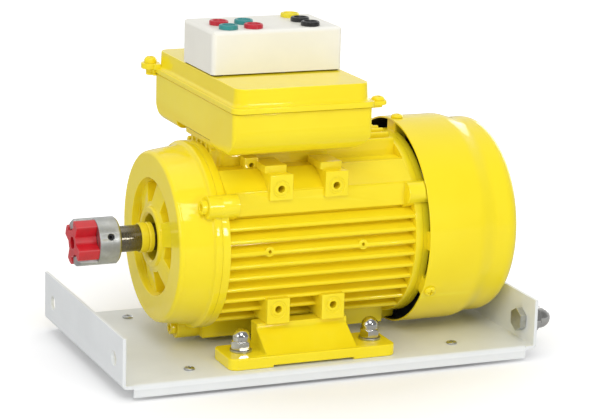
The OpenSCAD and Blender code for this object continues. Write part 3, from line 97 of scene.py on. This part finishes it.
class MotorColours(bpy.types.PropertyGroup):
    """Colours of the motor's paints and plastics."""

    enamel: colour("Enamel", "Gloss enamel on the castings and the fan cover", "#FBE522")
    enamel_deep: colour("Enamel, thick", "Where the enamel has run thick", "#F9E11C")
    # Paler yellow that sharp enamel edges take: a painted highlight.
    enamel_edge_highlight: colour("Enamel, thin", "Where the enamel draws thin over edges", "#FFF040")
    plate: colour("Base paint", "Powder coat on the base plate", "#E8EBEC")
    socket_box: colour("Socket box", "Moulded box of the sockets", "#F2F0E6")
    red: colour("Red sockets", "Moulded red sockets", "#C4142E")
    teal: colour("Teal sockets", "Moulded teal sockets", "#2F9090")
    black: colour("Black sockets", "Moulded black sockets", "#17181A")
    yellow: colour("Yellow socket", "Moulded yellow socket", "#F4E11F")
    spider: colour("Spider", "Cast elastomer of the coupling's spider", "#CF1524")


class MotorEdges(bpy.types.PropertyGroup):
    """Radii of the edges."""

    casting: length("Castings", "Rounding of the sand cast edges", 0.6)
    foot: length("Feet", "Rounding of the feet's edges", 0.9)
    lid: length("Lid", "Rounding of the terminal box and its lid", 0.6)
    sheet: length("Sheet", "Rounding of the sheet's sheared edges", 0.45)
    moulding: length("Mouldings", "Rounding of moulded edges", 0.3)
    turned: length("Turned parts", "Broken edges of turned parts", 0.35)


class MotorStudio(bpy.types.PropertyGroup):
    """Light of the studio."""

    room: bpy.props.FloatProperty(
        name="Room light", description="Strength of the light from all round", default=0.62, min=0.0)
    key: power("Key light", "Power of the softbox in front at the right", 3.0)
    fill: power("Fill light", "Power of the softbox high in front", 9.0)
    top: power("Top light", "Power of the softbox overhead", 3.0)
    rim: power("Rim light", "Power of the softbox behind at the right", 6.5)
    side: power("Side light", "Power of the softbox at the left", 4.0)
    floor: colour("Floor", "Pale floor", "#EDEDED")


# Finishes

FINISHES = {}
# Stretches of a noise, from its least to its most used value, that are spread over a whole mix
BLOTCH_SPAN = (0.35, 0.65)
GRAIN_SPAN = (0.3, 0.7)
# Pointiness at which an edge starts to show the edge colour, which on the enamels is a painted highlight, and
# at which it shows it in full
EDGE_SPAN = (0.52, 0.60)
# Share of the grain's height that the shading shows
GRAIN_STRENGTH = 0.6


def add_node(tree, kind, inputs=None, **settings):
    """Adds a shader node with its settings, and sets or links its inputs."""
    made = tree.nodes.new(kind)
    for key, value in settings.items():
        setattr(made, key, value)
    for socket, value in (inputs or {}).items():
        if isinstance(value, bpy.types.NodeSocket):
            tree.links.new(value, made.inputs[socket])
        else:
            made.inputs[socket].default_value = value
    return made


def per_mm(millimetres):
    """The scale at which a noise or wave has features of that size."""
    return 1.0 / (millimetres * MM)


def finish(name, base, second, blotch_mm, rough, grain_mm, grain, edge=None, edge_share=0.0,
           stretch=(1.0, 1.0, 1.0), **shader):
    """A procedural finish: two colours in blotches, edges in a third, varied gloss and a grain.

    rough holds the lowest and highest roughness, and grain is the grain's height in millimetres.
    stretch squeezes the grain along an axis, for marks that run one way.
    """
    material = bpy.data.materials.new(name)
    material.use_nodes = True
    tree = material.node_tree
    tree.nodes.clear()
    place = add_node(tree, "ShaderNodeTexCoord").outputs["Object"]
    blotch = add_node(tree, "ShaderNodeTexNoise", {
        "Vector": place, "Scale": per_mm(blotch_mm), "Detail": 3.0, "Roughness": 0.55})
    share = add_node(tree, "ShaderNodeMapRange", {
        "Value": blotch.outputs["Fac"], "From Min": BLOTCH_SPAN[0], "From Max": BLOTCH_SPAN[1]})
    body = add_node(tree, "ShaderNodeMix", {
        "Factor": share.outputs["Result"], "A": (*base, 1.0), "B": (*second, 1.0)}, data_type="RGBA")
    paint = body.outputs["Result"]
    if edge is not None:
        # Sharp edges take the edge colour: on the enamels a painted highlight, on the other finishes paler
        # worn edges.
        point = add_node(tree, "ShaderNodeNewGeometry").outputs["Pointiness"]
        edge_wear_and_highlight = add_node(tree, "ShaderNodeMapRange", {
            "Value": point, "From Min": EDGE_SPAN[0], "From Max": EDGE_SPAN[1], "To Max": edge_share})
        edged = add_node(tree, "ShaderNodeMix", {
            "Factor": edge_wear_and_highlight.outputs["Result"], "A": paint, "B": (*edge, 1.0)}, data_type="RGBA")
        paint = edged.outputs["Result"]
    squeezed = add_node(tree, "ShaderNodeMapping", {"Vector": place, "Scale": stretch}).outputs["Vector"]
    fine = add_node(tree, "ShaderNodeTexNoise", {
        "Vector": squeezed, "Scale": per_mm(grain_mm), "Detail": 2.0, "Roughness": 0.5})
    gloss = add_node(tree, "ShaderNodeMapRange", {
        "Value": fine.outputs["Fac"], "From Min": GRAIN_SPAN[0], "From Max": GRAIN_SPAN[1],
        "To Min": rough[0], "To Max": rough[1]})
    bump = add_node(tree, "ShaderNodeBump", {
        "Height": fine.outputs["Fac"], "Strength": GRAIN_STRENGTH, "Distance": grain * MM})
    skin = add_node(tree, "ShaderNodeBsdfPrincipled", {
        "Base Color": paint, "Roughness": gloss.outputs["Result"], "Normal": bump.outputs["Normal"],
        **shader})
    add_node(tree, "ShaderNodeOutputMaterial", {"Surface": skin.outputs["BSDF"]})
    FINISHES[name] = material


def lighter(tone, share):
    """A colour moved towards white by a share."""
    return [c + (1.0 - c) * share for c in tone]


def darker(tone, share):
    """A colour moved towards black by a share."""
    return [c * (1.0 - share) for c in tone]


class MOTOR_OT_mix_finishes(bpy.types.Operator):
    """Mixes every finish of the motor from the chosen colours"""

    bl_idname = "motor.mix_finishes"
    bl_label = "Mix finishes"

    def execute(self, context):
        c = context.scene.motor_colours
        # Gloss enamel sprayed on sand castings: clean lemon yellow, soft gloss over a faintly uneven skin,
        # paler on edges as a painted highlight. The orange peel is 1.5 mm, drawn at 6 mm to show.
        finish("gloss_enamel_on_casting", c.enamel, c.enamel_deep, 40.0, (0.34, 0.42), 6.0, 0.004,
               c.enamel_edge_highlight, 0.4, **{
                   "IOR": 1.45, "Specular IOR Level": 0.15, "Coat Weight": 0.75, "Coat Roughness": 0.06})
        # The same enamel, with its painted highlight on edges, on pressed sheet and die castings: flatter, so
        # highlights keep their shape.
        finish("gloss_enamel_on_sheet", c.enamel, c.enamel_deep, 60.0, (0.34, 0.40), 8.0, 0.004,
               c.enamel_edge_highlight, 0.4, **{
                   "IOR": 1.45, "Specular IOR Level": 0.15, "Coat Weight": 0.75, "Coat Roughness": 0.05})
        # Painted shade inside the fan cover: near black stands in for the shade in there, dull, with faint
        # grey blotches and paler edges.
        finish("black_primer", linear("#0E0D0B"), linear("#1A1916"), 12.0, (0.55, 0.70), 0.8, 0.02,
               linear("#2A2925"), 0.3, **{"IOR": 1.45})
        # Powder coat on folded steel: off-white, satin, with a fine dimpled skin that is drawn at 1.6 mm.
        finish("off_white_powder_coat", c.plate, darker(c.plate, 0.04), 30.0, (0.38, 0.52), 1.6, 0.06,
               lighter(c.plate, 0.35), 0.5, **{"IOR": 1.5, "Coat Weight": 0.1, "Coat Roughness": 0.3})
        # Moulded ABS with a spark eroded skin: cream, satin, 1 mm grain.
        finish("moulded_cream_abs", c.socket_box, darker(c.socket_box, 0.03), 25.0, (0.34, 0.46), 1.0, 0.03,
               lighter(c.socket_box, 0.3), 0.4, **{"IOR": 1.53})
        # Moulded polyamide of the sockets: strong colours, low gloss with a faint flow pattern.
        for key in ("red", "teal", "black", "yellow"):
            tone = getattr(c, key)
            finish(f"moulded_{key}_polyamide", tone, darker(tone, 0.12), 6.0, (0.28, 0.42), 0.8, 0.02,
                   lighter(tone, 0.15), 0.5, **{"IOR": 1.53})
        # Cast polyurethane: deep red, waxy, slightly see-through at its edges.
        finish("cast_red_polyurethane", c.spider, darker(c.spider, 0.15), 8.0, (0.30, 0.44), 1.2, 0.04,
               lighter(c.spider, 0.28), 0.7, **{
                   "IOR": 1.49, "Subsurface Weight": 0.12, "Subsurface Radius": (0.004, 0.001, 0.001),
                   "Subsurface Scale": 1.0})
        # Zinc plate with a clear passivate: pale grey with faint warm clouds and a satin grain.
        finish("zinc_plate", linear("#C3C5C6"), linear("#B5B6B0"), 5.0, (0.26, 0.42), 0.7, 0.02,
               linear("#E4E5E6"), 0.5, **{"Metallic": 1.0})
        # Nickel plate on domed nuts: bright and mirror like, with slight handling marks.
        finish("bright_nickel_plate", linear("#D8D8D6"), linear("#C9C8C4"), 6.0, (0.08, 0.18), 1.5, 0.01,
               linear("#F2F2F0"), 0.4, **{"Metallic": 1.0})
        # Turned and ground steel: fine rings round the shaft, drawn at 0.6 mm along it.
        finish("ground_steel", linear("#7E786B"), linear("#6E695E"), 12.0, (0.16, 0.30), 4.0, 0.02,
               linear("#DAD8D2"), 0.4, stretch=(7.0, 0.6, 0.6), **{"Metallic": 1.0})
        # Die cast aluminium, turned outside: pale satin grey, with rings drawn at 0.7 mm.
        finish("turned_cast_aluminium", linear("#C9CBCB"), linear("#B7B9B8"), 7.0, (0.34, 0.50), 3.5, 0.04,
               linear("#E6E7E6"), 0.5, stretch=(5.0, 0.7, 0.7), **{"Metallic": 1.0})
        # Moulded black rubber: dull, with grey bloom.
        finish("moulded_black_rubber", linear("#16140F"), linear("#1F1C16"), 7.0, (0.55, 0.75), 1.0, 0.05,
               linear("#2E2B24"), 0.4, **{"IOR": 1.52})
        # Rubber lip seal sprayed over with the enamel: softer gloss than the castings, with the enamel's
        # painted highlight on edges.
        finish("enamel_over_rubber", darker(c.enamel, 0.10), c.enamel_deep, 8.0, (0.34, 0.48), 1.2, 0.05,
               c.enamel_edge_highlight, 0.3, **{"IOR": 1.45})
        # Stacked electrical sheet: grey edges of thin sheets, drawn as 1 mm lines across the shaft.
        finish("stacked_electrical_sheet", linear("#6F7172"), linear("#5C5E60"), 9.0, (0.38, 0.55), 6.0,
               0.10, linear("#8F9294"), 0.4, stretch=(6.0, 0.4, 0.4), **{"Metallic": 0.9})
        # Enamelled copper wire: amber varnish over copper, wound in strands drawn at 1.2 mm.
        finish("enamelled_copper_wire", linear("#A9531F"), linear("#7E3713"), 5.0, (0.22, 0.36), 1.2, 0.25,
               linear("#D18345"), 0.5, **{"Metallic": 0.75, "Coat Weight": 0.4, "Coat Roughness": 0.2})
        # Blackened steel: dark oxide with a dull sheen.
        finish("black_oxide_steel", linear("#2A2A2B"), linear("#353536"), 3.0, (0.35, 0.5), 0.8, 0.02,
               linear("#5A5A5B"), 0.4, **{"Metallic": 0.8})
        # Moulded black nylon and phenolic: dark, satin, with a fine grain.
        finish("moulded_black_nylon", linear("#1C1D1F"), linear("#27282A"), 9.0, (0.36, 0.5), 1.0, 0.03,
               linear("#45464A"), 0.4, **{"IOR": 1.53})
        # Turned brass: warm yellow metal with a satin grain.
        finish("turned_brass", linear("#C79A45"), linear("#B2853A"), 5.0, (0.24, 0.38), 2.0, 0.02,
               linear("#E6C679"), 0.4, stretch=(4.0, 1.0, 1.0), **{"Metallic": 1.0})
        # Moulded phenolic board: brown with paler flecks.
        finish("brown_phenolic", linear("#5B3018"), linear("#6E3F22"), 3.0, (0.35, 0.5), 1.0, 0.03,
               linear("#8A5632"), 0.4, **{"IOR": 1.6})
        return {"FINISHED"}


SLOT_FINISH = {
    "off_white_paint": "off_white_powder_coat",
    "black_rubber": "moulded_black_rubber",
    "zinc_plate": "zinc_plate",
    "bright_plate": "bright_nickel_plate",
    "yellow_paint": "gloss_enamel_on_casting",
    "core_steel": "stacked_electrical_sheet",
    "winding_copper": "enamelled_copper_wire",
    "bright_steel": "ground_steel",
    "cast_aluminium": "turned_cast_aluminium",
    "painted_rubber": "enamel_over_rubber",
    "red_elastomer": "cast_red_polyurethane",
    "black_steel": "black_oxide_steel",
    "black_plastic": "moulded_black_nylon",
    "brass": "turned_brass",
    "brown_plastic": "brown_phenolic",
    "cream_plastic": "moulded_cream_abs",
    "red_plastic": "moulded_red_polyamide",
    "teal_plastic": "moulded_teal_polyamide",
    "yellow_plastic": "moulded_yellow_polyamide",
}


# Shapes

# Corners closer than this are one, and faces that lean less than this angle are one flat face
MERGE_NEAR = 0.002 * MM
FLAT_ANGLE = math.radians(0.5)
# Edges sharper than this are rounded, in this many steps
SHARP_ANGLE = math.radians(35.0)
BEVEL_STEPS = 3
# Angle up to which faces are shaded as one surface
SMOOTH_ANGLE = math.radians(50.0)
# How near to a joint's face an edge counts as lying on it, and faces count as equally near
JOINT_NEAR = 0.05 * MM
# A rounded face is at fault when it turns against the solid, or stands off it by this share of the radius
FAULT_GAP = 0.7
# Smallest face that is looked at for a fault, and size past which only the nearest face of the solid counts
FAULT_AREA = 0.15 * MM * MM
LARGE_AREA = 1.5 * MM * MM
# How far from a fault the edges are spared, in radii
SPARED_REACH = 2.0
# Rounds of rounding after which flat faces near faults stay as packed, and after which a piece is given up
WHOLE_ROUNDS = 4
ROUNDS = 14
# A corner's shading leans at most this far, as a cosine, from its face
SHADING_LEAN = 0.6
# A face looks inwards past this cosine, or forwards past this one if it lies this far behind the front edge;
# such faces inside the fan cover take the painted shade
INWARD = -0.5
FORWARD = -0.7
FRONT_DEPTH = 10.0 * MM


def only(piece):
    """Makes one object the selected and active one."""
    bpy.ops.object.select_all(action="DESELECT")
    piece.select_set(True)
    bpy.context.view_layer.objects.active = piece


def paint(piece, material):
    """Gives a piece one finish all over."""
    piece.data.materials.clear()
    piece.data.materials.append(FINISHES[material])


def stand_for(piece, node, material=None):
    """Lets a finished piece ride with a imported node's body and take the node's place and finish."""
    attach(piece, NODE_BODY[node])
    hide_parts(node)
    paint(piece, material or SLOT_FINISH[NODE_SLOT[node]])


def search_tree(places):
    """A tree that finds the places near a point."""
    tree = KDTree(len(places))
    for k, place in enumerate(places):
        tree.insert(place, k)
    tree.balance()
    return tree


def near_any(places, points, reach):
    """Whether one of the points lies within reach of the places in a search tree."""
    return any(places.find_range(point, reach) for point in points)


def merged_copy(node, spared, reach):
    """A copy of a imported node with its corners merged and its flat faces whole, but near spared places."""
    mesh = frame["nodes"][node].data.copy()
    piece = bpy.data.objects.new(f"{node}_piece", mesh)
    bpy.context.scene.collection.objects.link(piece)
    only(piece)
    bpy.ops.object.mode_set(mode="EDIT")
    bpy.ops.mesh.select_all(action="SELECT")
    bpy.ops.mesh.remove_doubles(threshold=MERGE_NEAR)
    bpy.ops.mesh.select_mode(type="FACE")
    for face in bmesh.from_edit_mesh(mesh).faces:
        face.select_set(not near_any(spared, [v.co for v in face.verts], reach))
    bmesh.update_edit_mesh(mesh)
    bpy.ops.mesh.dissolve_limited(angle_limit=FLAT_ANGLE)
    bpy.ops.object.mode_set(mode="OBJECT")
    return piece


def on_joint(edge):
    """Whether an edge lies on a face where the frame meets an end shield."""
    ends = [v.co.x for v in edge.verts]
    return any(all(abs(x - joint) < JOINT_NEAR for x in ends) for joint in (FRONT_JOINT, REAR_JOINT))


def round_edges(piece, radius, spared):
    """Rounds a piece's outer edges, but for those of joints and those near the spared places."""
    only(piece)
    bpy.ops.object.mode_set(mode="EDIT")
    bpy.ops.mesh.select_mode(type="EDGE")
    bpy.ops.mesh.select_all(action="DESELECT")
    bpy.ops.mesh.edges_select_sharp(sharpness=SHARP_ANGLE)
    shape = bmesh.from_edit_mesh(piece.data)
    outer = [edge for edge in shape.edges if edge.select and edge.is_convex and not on_joint(edge)
             and not near_any(spared, [v.co for v in edge.verts], SPARED_REACH * radius)]
    bpy.ops.mesh.select_all(action="DESELECT")
    for edge in outer:
        edge.select_set(True)
    bmesh.update_edit_mesh(piece.data)
    if outer:
        bpy.ops.mesh.bevel(
            offset=radius, segments=BEVEL_STEPS, profile=0.5, affect="EDGES", clamp_overlap=False)
    bpy.ops.object.mode_set(mode="OBJECT")


def faults(piece, solid, radius):
    """Corners of the faces that turn against the solid or stand off it."""
    places = []
    mesh = piece.data
    mesh.calc_loop_triangles()
    for face in mesh.loop_triangles:
        if face.area < FAULT_AREA:
            continue
        corners = [mesh.vertices[k].co.copy() for k in face.vertices]
        middle = sum(corners, Vector()) / 3
        _, normal, _, gap = solid.find_nearest(middle)
        as_near = [normal]
        if face.area < LARGE_AREA:
            as_near += [hit[1] for hit in solid.find_nearest_range(middle, gap + JOINT_NEAR)]
        turned = max(way.dot(face.normal) for way in as_near) < 0.0
        if turned or gap > FAULT_GAP * radius:
            places.extend(corners)
    return places


def smooth(piece):
    """Shades a piece smooth, but for its sharp edges, with its flat faces kept flat."""
    only(piece)
    bpy.ops.object.shade_smooth_by_angle(angle=SMOOTH_ANGLE)
    bpy.ops.object.modifier_add(type="WEIGHTED_NORMAL")
    piece.modifiers[-1].keep_sharp = True
    bpy.ops.object.modifier_apply(modifier=piece.modifiers[-1].name)
    mesh = piece.data
    leant = [corner.vector.copy() for corner in mesh.corner_normals]
    for face in mesh.polygons:
        for k in face.loop_indices:
            if leant[k].dot(face.normal) < SHADING_LEAN:
                leant[k] = face.normal.copy()
    mesh.normals_split_custom_set(leant)


def dress(node, radius, material=None):
    """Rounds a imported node's edges on a copy that stands for it, and spares edges that can't be rounded."""
    packed = frame["nodes"][node].data
    solid = BVHTree.FromPolygons([v.co for v in packed.vertices], [f.vertices for f in packed.polygons])
    places = []
    for turn in range(ROUNDS):
        spared = search_tree(places)
        packed_near = spared if turn >= WHOLE_ROUNDS else search_tree([])
        piece = merged_copy(node, packed_near, SPARED_REACH * radius)
        round_edges(piece, radius, spared)
        found = faults(piece, solid, radius)
        if not found:
            break
        places += found
        bpy.data.objects.remove(piece)
    else:
        raise RuntimeError(f"{node}: its edges can't be rounded cleanly")
    smooth(piece)
    stand_for(piece, node, material)
    return piece


def paint_shade_inside(piece, material):
    """Gives the faces that look at the shaft's axis, or forwards from within, a second finish: the painted
    shade inside the fan cover.
    """
    piece.data.materials.append(FINISHES[material])
    front = min(v.co.x for v in piece.data.vertices)
    for face in piece.data.polygons:
        out = Vector((0.0, face.center.y, face.center.z - AXIS_HEIGHT)).normalized()
        inner_wall = face.normal.dot(out) < INWARD
        inner_end = face.normal.x < FORWARD and face.center.x > front + FRONT_DEPTH
        if inner_wall or inner_end:
            face.material_index = 1


class MOTOR_OT_base(bpy.types.Operator):
    """Folded base plate with its rubber feet and joining bolts"""

    bl_idname = "motor.base"
    bl_label = "Base"

    def execute(self, context):
        edges = context.scene.motor_edges
        dress("base_plate", edges.sheet)
        dress("base_feet", edges.moulding)
        dress("base_foot_screws", edges.moulding)
        dress("link_bolts", edges.turned)
        dress("link_washers", edges.turned)
        dress("link_nuts", edges.turned)
        return {"FINISHED"}


class MOTOR_OT_castings(bpy.types.Operator):
    """Feet, frame and end shields"""

    bl_idname = "motor.castings"
    bl_label = "Castings"

    def execute(self, context):
        edges = context.scene.motor_edges
        for node in ("near_foot", "far_foot"):
            dress(node, edges.foot)
        dress("stator_frame", edges.casting)
        dress("drive_end_shield", edges.casting)
        dress("rear_end_shield", edges.casting)
        for node in ("foot_washers", "foot_nuts", "drive_shield_screws"):
            dress(node, edges.turned)
        return {"FINISHED"}


class MOTOR_OT_fan_cover(bpy.types.Operator):
    """Pressed cover over the fan"""

    bl_idname = "motor.fan_cover"
    bl_label = "Fan cover"

    def execute(self, context):
        edges = context.scene.motor_edges
        # The faces inside the fan cover are painted near black as painted shade.
        paint_shade_inside(dress("fan_cover", edges.sheet, "gloss_enamel_on_sheet"), "black_primer")
        dress("fan_cover_screws", edges.moulding, "gloss_enamel_on_sheet")
        return {"FINISHED"}


class MOTOR_OT_terminal_box(bpy.types.Operator):
    """Terminal box and its lid"""

    bl_idname = "motor.terminal_box"
    bl_label = "Terminal box"

    def execute(self, context):
        edges = context.scene.motor_edges
        dress("terminal_box", edges.lid, "gloss_enamel_on_sheet")
        dress("terminal_box_lid", edges.lid, "gloss_enamel_on_sheet")
        dress("lid_screws", edges.moulding, "gloss_enamel_on_sheet")
        return {"FINISHED"}


class MOTOR_OT_socket_box(bpy.types.Operator):
    """White box and its seven sockets"""

    bl_idname = "motor.socket_box"
    bl_label = "Socket box"

    def execute(self, context):
        edges = context.scene.motor_edges
        dress("socket_box", edges.moulding)
        for node in ("red_sockets", "teal_sockets", "yellow_socket"):
            dress(node, edges.moulding)
        dress("black_sockets", edges.moulding, "moulded_black_polyamide")
        return {"FINISHED"}


class MOTOR_OT_coupling(bpy.types.Operator):
    """Shaft, half coupling and spider"""

    bl_idname = "motor.coupling"
    bl_label = "Coupling"

    def execute(self, context):
        edges = context.scene.motor_edges
        dress("coupling_hub", edges.turned)
        dress("coupling_spider", edges.moulding)
        dress("shaft_seal", edges.moulding)
        return {"FINISHED"}


class MOTOR_OT_hidden_parts(bpy.types.Operator):
    """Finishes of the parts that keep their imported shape"""

    bl_idname = "motor.hidden_parts"
    bl_label = "Hidden parts"

    def execute(self, context):
        for node, piece in frame["nodes"].items():
            if not piece.hide_render:
                paint(piece, SLOT_FINISH[NODE_SLOT[node]])
        return {"FINISHED"}


# Softboxes: the middle of each, and its width and height, in metres
SOFTBOXES = {
    "key": ((0.48, -1.6, 0.5), 0.2, 0.25),
    "fill": ((-0.4, -1.3, 1.35), 0.9, 0.7),
    "top": ((0.0, 0.1, 1.6), 1.2, 1.2),
    "rim": ((1.25, 0.95, 0.35), 0.8, 1.2),
    "side": ((-1.7, -0.6, 0.6), 0.8, 0.8),
}
# The point that every softbox faces
LIGHT_TARGET = Vector((0.0, 0.0, 0.1))
# The floor's side, and the distances over which its own light for the camera rises between two strengths
FLOOR_SIDE = 12.0
LIFT_SPAN = (0.12, 0.40)
LIFT = (0.12, 0.55)
# How much darker the floor is in reflections
FLOOR_DIM = 0.4
# What reflections see of the room: the directions between which it changes, and its strengths there
ROOM_SPAN = (-0.4, 0.5)
ROOM_MIRRORED = (0.25, 0.8)


class MOTOR_OT_stage(bpy.types.Operator):
    """Camera, pale floor and soft studio light"""

    bl_idname = "motor.stage"
    bl_label = "Stage"

    def execute(self, context):
        scene = context.scene
        studio = scene.motor_studio
        scene.view_settings.view_transform = "Standard"
        self.place_camera(scene)
        self.lay_floor(studio)
        self.light_room(scene, studio)
        for name, (place, width, height) in SOFTBOXES.items():
            self.hang_softbox(f"{name}_softbox", getattr(studio, name), place, width, height)
        return {"FINISHED"}

    def place_camera(self, scene):
        """The camera stands where the photograph's perspective puts it."""
        azimuth = math.radians(-22.35)
        elevation = math.radians(13.97)
        roll = math.radians(1.39)
        distance = 1.7619
        target = Vector((-0.02634, 0.0, 0.10366))
        focal_px = 2410.7
        middle_px = (265.23, 211.76)
        sensor = 36.0
        back = Vector((math.sin(azimuth) * math.cos(elevation),
                       -math.cos(azimuth) * math.cos(elevation), math.sin(elevation)))
        level = Vector((math.cos(azimuth), math.sin(azimuth), 0.0))
        upright = back.cross(level)
        right = math.cos(roll) * level + math.sin(roll) * upright
        up = math.cos(roll) * upright - math.sin(roll) * level
        lens = bpy.data.cameras.new("photo_camera")
        lens.sensor_width = sensor
        lens.lens = focal_px / PHOTO_W * sensor
        lens.shift_x = (PHOTO_W / 2 - middle_px[0]) / PHOTO_W
        lens.shift_y = (middle_px[1] - PHOTO_H / 2) / PHOTO_W
        camera = bpy.data.objects.new("photo_camera", lens)
        scene.collection.objects.link(camera)
        turn = Matrix((right, up, back)).transposed().to_4x4()
        camera.matrix_world = Matrix.Translation(target + distance * back) @ turn
        scene.camera = camera

    def lay_floor(self, studio):
        """A floor that fades to white away from the motor, and keeps the shadow under it."""
        bpy.ops.object.select_all(action="DESELECT")
        bpy.ops.mesh.primitive_plane_add(size=FLOOR_SIDE, location=(0.0, 0.0, 0.0))
        floor = bpy.context.object
        floor.name = "studio_floor"
        material = bpy.data.materials.new("pale_floor")
        material.use_nodes = True
        tree = material.node_tree
        tree.nodes.clear()
        path = add_node(tree, "ShaderNodeLightPath").outputs
        seen = add_node(tree, "ShaderNodeMath", {0: path["Is Camera Ray"], 1: path["Is Transmission Ray"]},
                        operation="MAXIMUM")
        place = add_node(tree, "ShaderNodeTexCoord").outputs["Object"]
        away = add_node(tree, "ShaderNodeVectorMath", {0: place}, operation="LENGTH").outputs["Value"]
        white = add_node(tree, "ShaderNodeMapRange", {
            "Value": away, "From Min": LIFT_SPAN[0], "From Max": LIFT_SPAN[1],
            "To Min": LIFT[0], "To Max": LIFT[1]})
        lift = add_node(tree, "ShaderNodeMath", {0: seen.outputs[0], 1: white.outputs["Result"]},
                        operation="MULTIPLY")
        glow = add_node(tree, "ShaderNodeEmission", {"Strength": lift.outputs[0]})
        dim = darker(studio.floor, FLOOR_DIM)
        tone = add_node(tree, "ShaderNodeMix", {
            "Factor": path["Is Glossy Ray"], "A": (*studio.floor, 1.0), "B": (*dim, 1.0)}, data_type="RGBA")
        matt = add_node(tree, "ShaderNodeBsdfDiffuse", {"Color": tone.outputs["Result"]})
        both = add_node(tree, "ShaderNodeAddShader", {0: matt.outputs[0], 1: glow.outputs[0]})
        add_node(tree, "ShaderNodeOutputMaterial", {"Surface": both.outputs[0]})
        floor.data.materials.append(material)

    def light_room(self, scene, studio):
        """A white room for the camera, one paler at the back for reflections, and an even light."""
        world = bpy.data.worlds.new("studio_room")
        scene.world = world
        world.use_nodes = True
        tree = world.node_tree
        tree.nodes.clear()
        path = add_node(tree, "ShaderNodeLightPath").outputs
        seen = add_node(tree, "ShaderNodeMath", {0: path["Is Camera Ray"], 1: path["Is Transmission Ray"]},
                        operation="MAXIMUM")
        way = add_node(tree, "ShaderNodeTexCoord").outputs["Generated"]
        depth = add_node(tree, "ShaderNodeSeparateXYZ", {0: way}).outputs["Y"]
        shade = add_node(tree, "ShaderNodeMapRange", {
            "Value": depth, "From Min": ROOM_SPAN[0], "From Max": ROOM_SPAN[1],
            "To Min": ROOM_MIRRORED[0], "To Max": ROOM_MIRRORED[1]})
        mirrored = add_node(tree, "ShaderNodeMix", {
            "Factor": path["Is Glossy Ray"], "A": studio.room, "B": shade.outputs["Result"]})
        level = add_node(tree, "ShaderNodeMix", {
            "Factor": seen.outputs[0], "A": mirrored.outputs["Result"], "B": 1.0})
        sky = add_node(tree, "ShaderNodeBackground", {
            "Color": (1.0, 1.0, 1.0, 1.0), "Strength": level.outputs["Result"]})
        add_node(tree, "ShaderNodeOutputWorld", {"Surface": sky.outputs[0]})

    def hang_softbox(self, name, power, place, width, height):
        """A softbox that faces the motor."""
        lamp = bpy.data.lights.new(name, "AREA")
        lamp.shape = "RECTANGLE"
        lamp.size = width
        lamp.size_y = height
        lamp.energy = power
        box = bpy.data.objects.new(name, lamp)
        bpy.context.scene.collection.objects.link(box)
        box.location = place
        aim = LIGHT_TARGET - Vector(place)
        box.rotation_euler = aim.to_track_quat("-Z", "Y").to_euler()


class MOTOR_PT_pieces(bpy.types.Panel):
    """Pieces of the motor, in the order they are made"""

    bl_idname = "MOTOR_PT_pieces"
    bl_label = "Capacitor start motor"
    bl_space_type = "VIEW_3D"
    bl_region_type = "UI"
    bl_category = "Motor"

    def draw(self, context):
        for group in ("motor_colours", "motor_edges", "motor_studio"):
            settings = getattr(context.scene, group)
            for key in settings.bl_rna.properties.keys():
                if key not in {"rna_type", "name"}:
                    self.layout.prop(settings, key)
        for step in STEPS:
            self.layout.operator(step.bl_idname)


STEPS = (
    MOTOR_OT_mix_finishes,
    MOTOR_OT_base,
    MOTOR_OT_castings,
    MOTOR_OT_fan_cover,
    MOTOR_OT_terminal_box,
    MOTOR_OT_socket_box,
    MOTOR_OT_coupling,
    MOTOR_OT_hidden_parts,
    MOTOR_OT_stage,
)
GROUPS = {"motor_colours": MotorColours, "motor_edges": MotorEdges, "motor_studio": MotorStudio}


def register():
    for group in GROUPS.values():
        bpy.utils.register_class(group)
    for key, group in GROUPS.items():
        setattr(bpy.types.Scene, key, bpy.props.PointerProperty(type=group))
    for step in STEPS:
        bpy.utils.register_class(step)
    bpy.utils.register_class(MOTOR_PT_pieces)


def unregister():
    bpy.utils.unregister_class(MOTOR_PT_pieces)
    for step in reversed(STEPS):
        bpy.utils.unregister_class(step)
    for key in GROUPS:
        delattr(bpy.types.Scene, key)
    for group in reversed(GROUPS.values()):
        bpy.utils.unregister_class(group)


def main():
    register()
    bpy.ops.motor.mix_finishes()
    bpy.ops.motor.base()
    bpy.ops.motor.castings()
    bpy.ops.motor.fan_cover()
    bpy.ops.motor.terminal_box()
    bpy.ops.motor.socket_box()
    bpy.ops.motor.coupling()
    bpy.ops.motor.hidden_parts()
    bpy.ops.motor.stage()


if __name__ == "__main__":
    main()
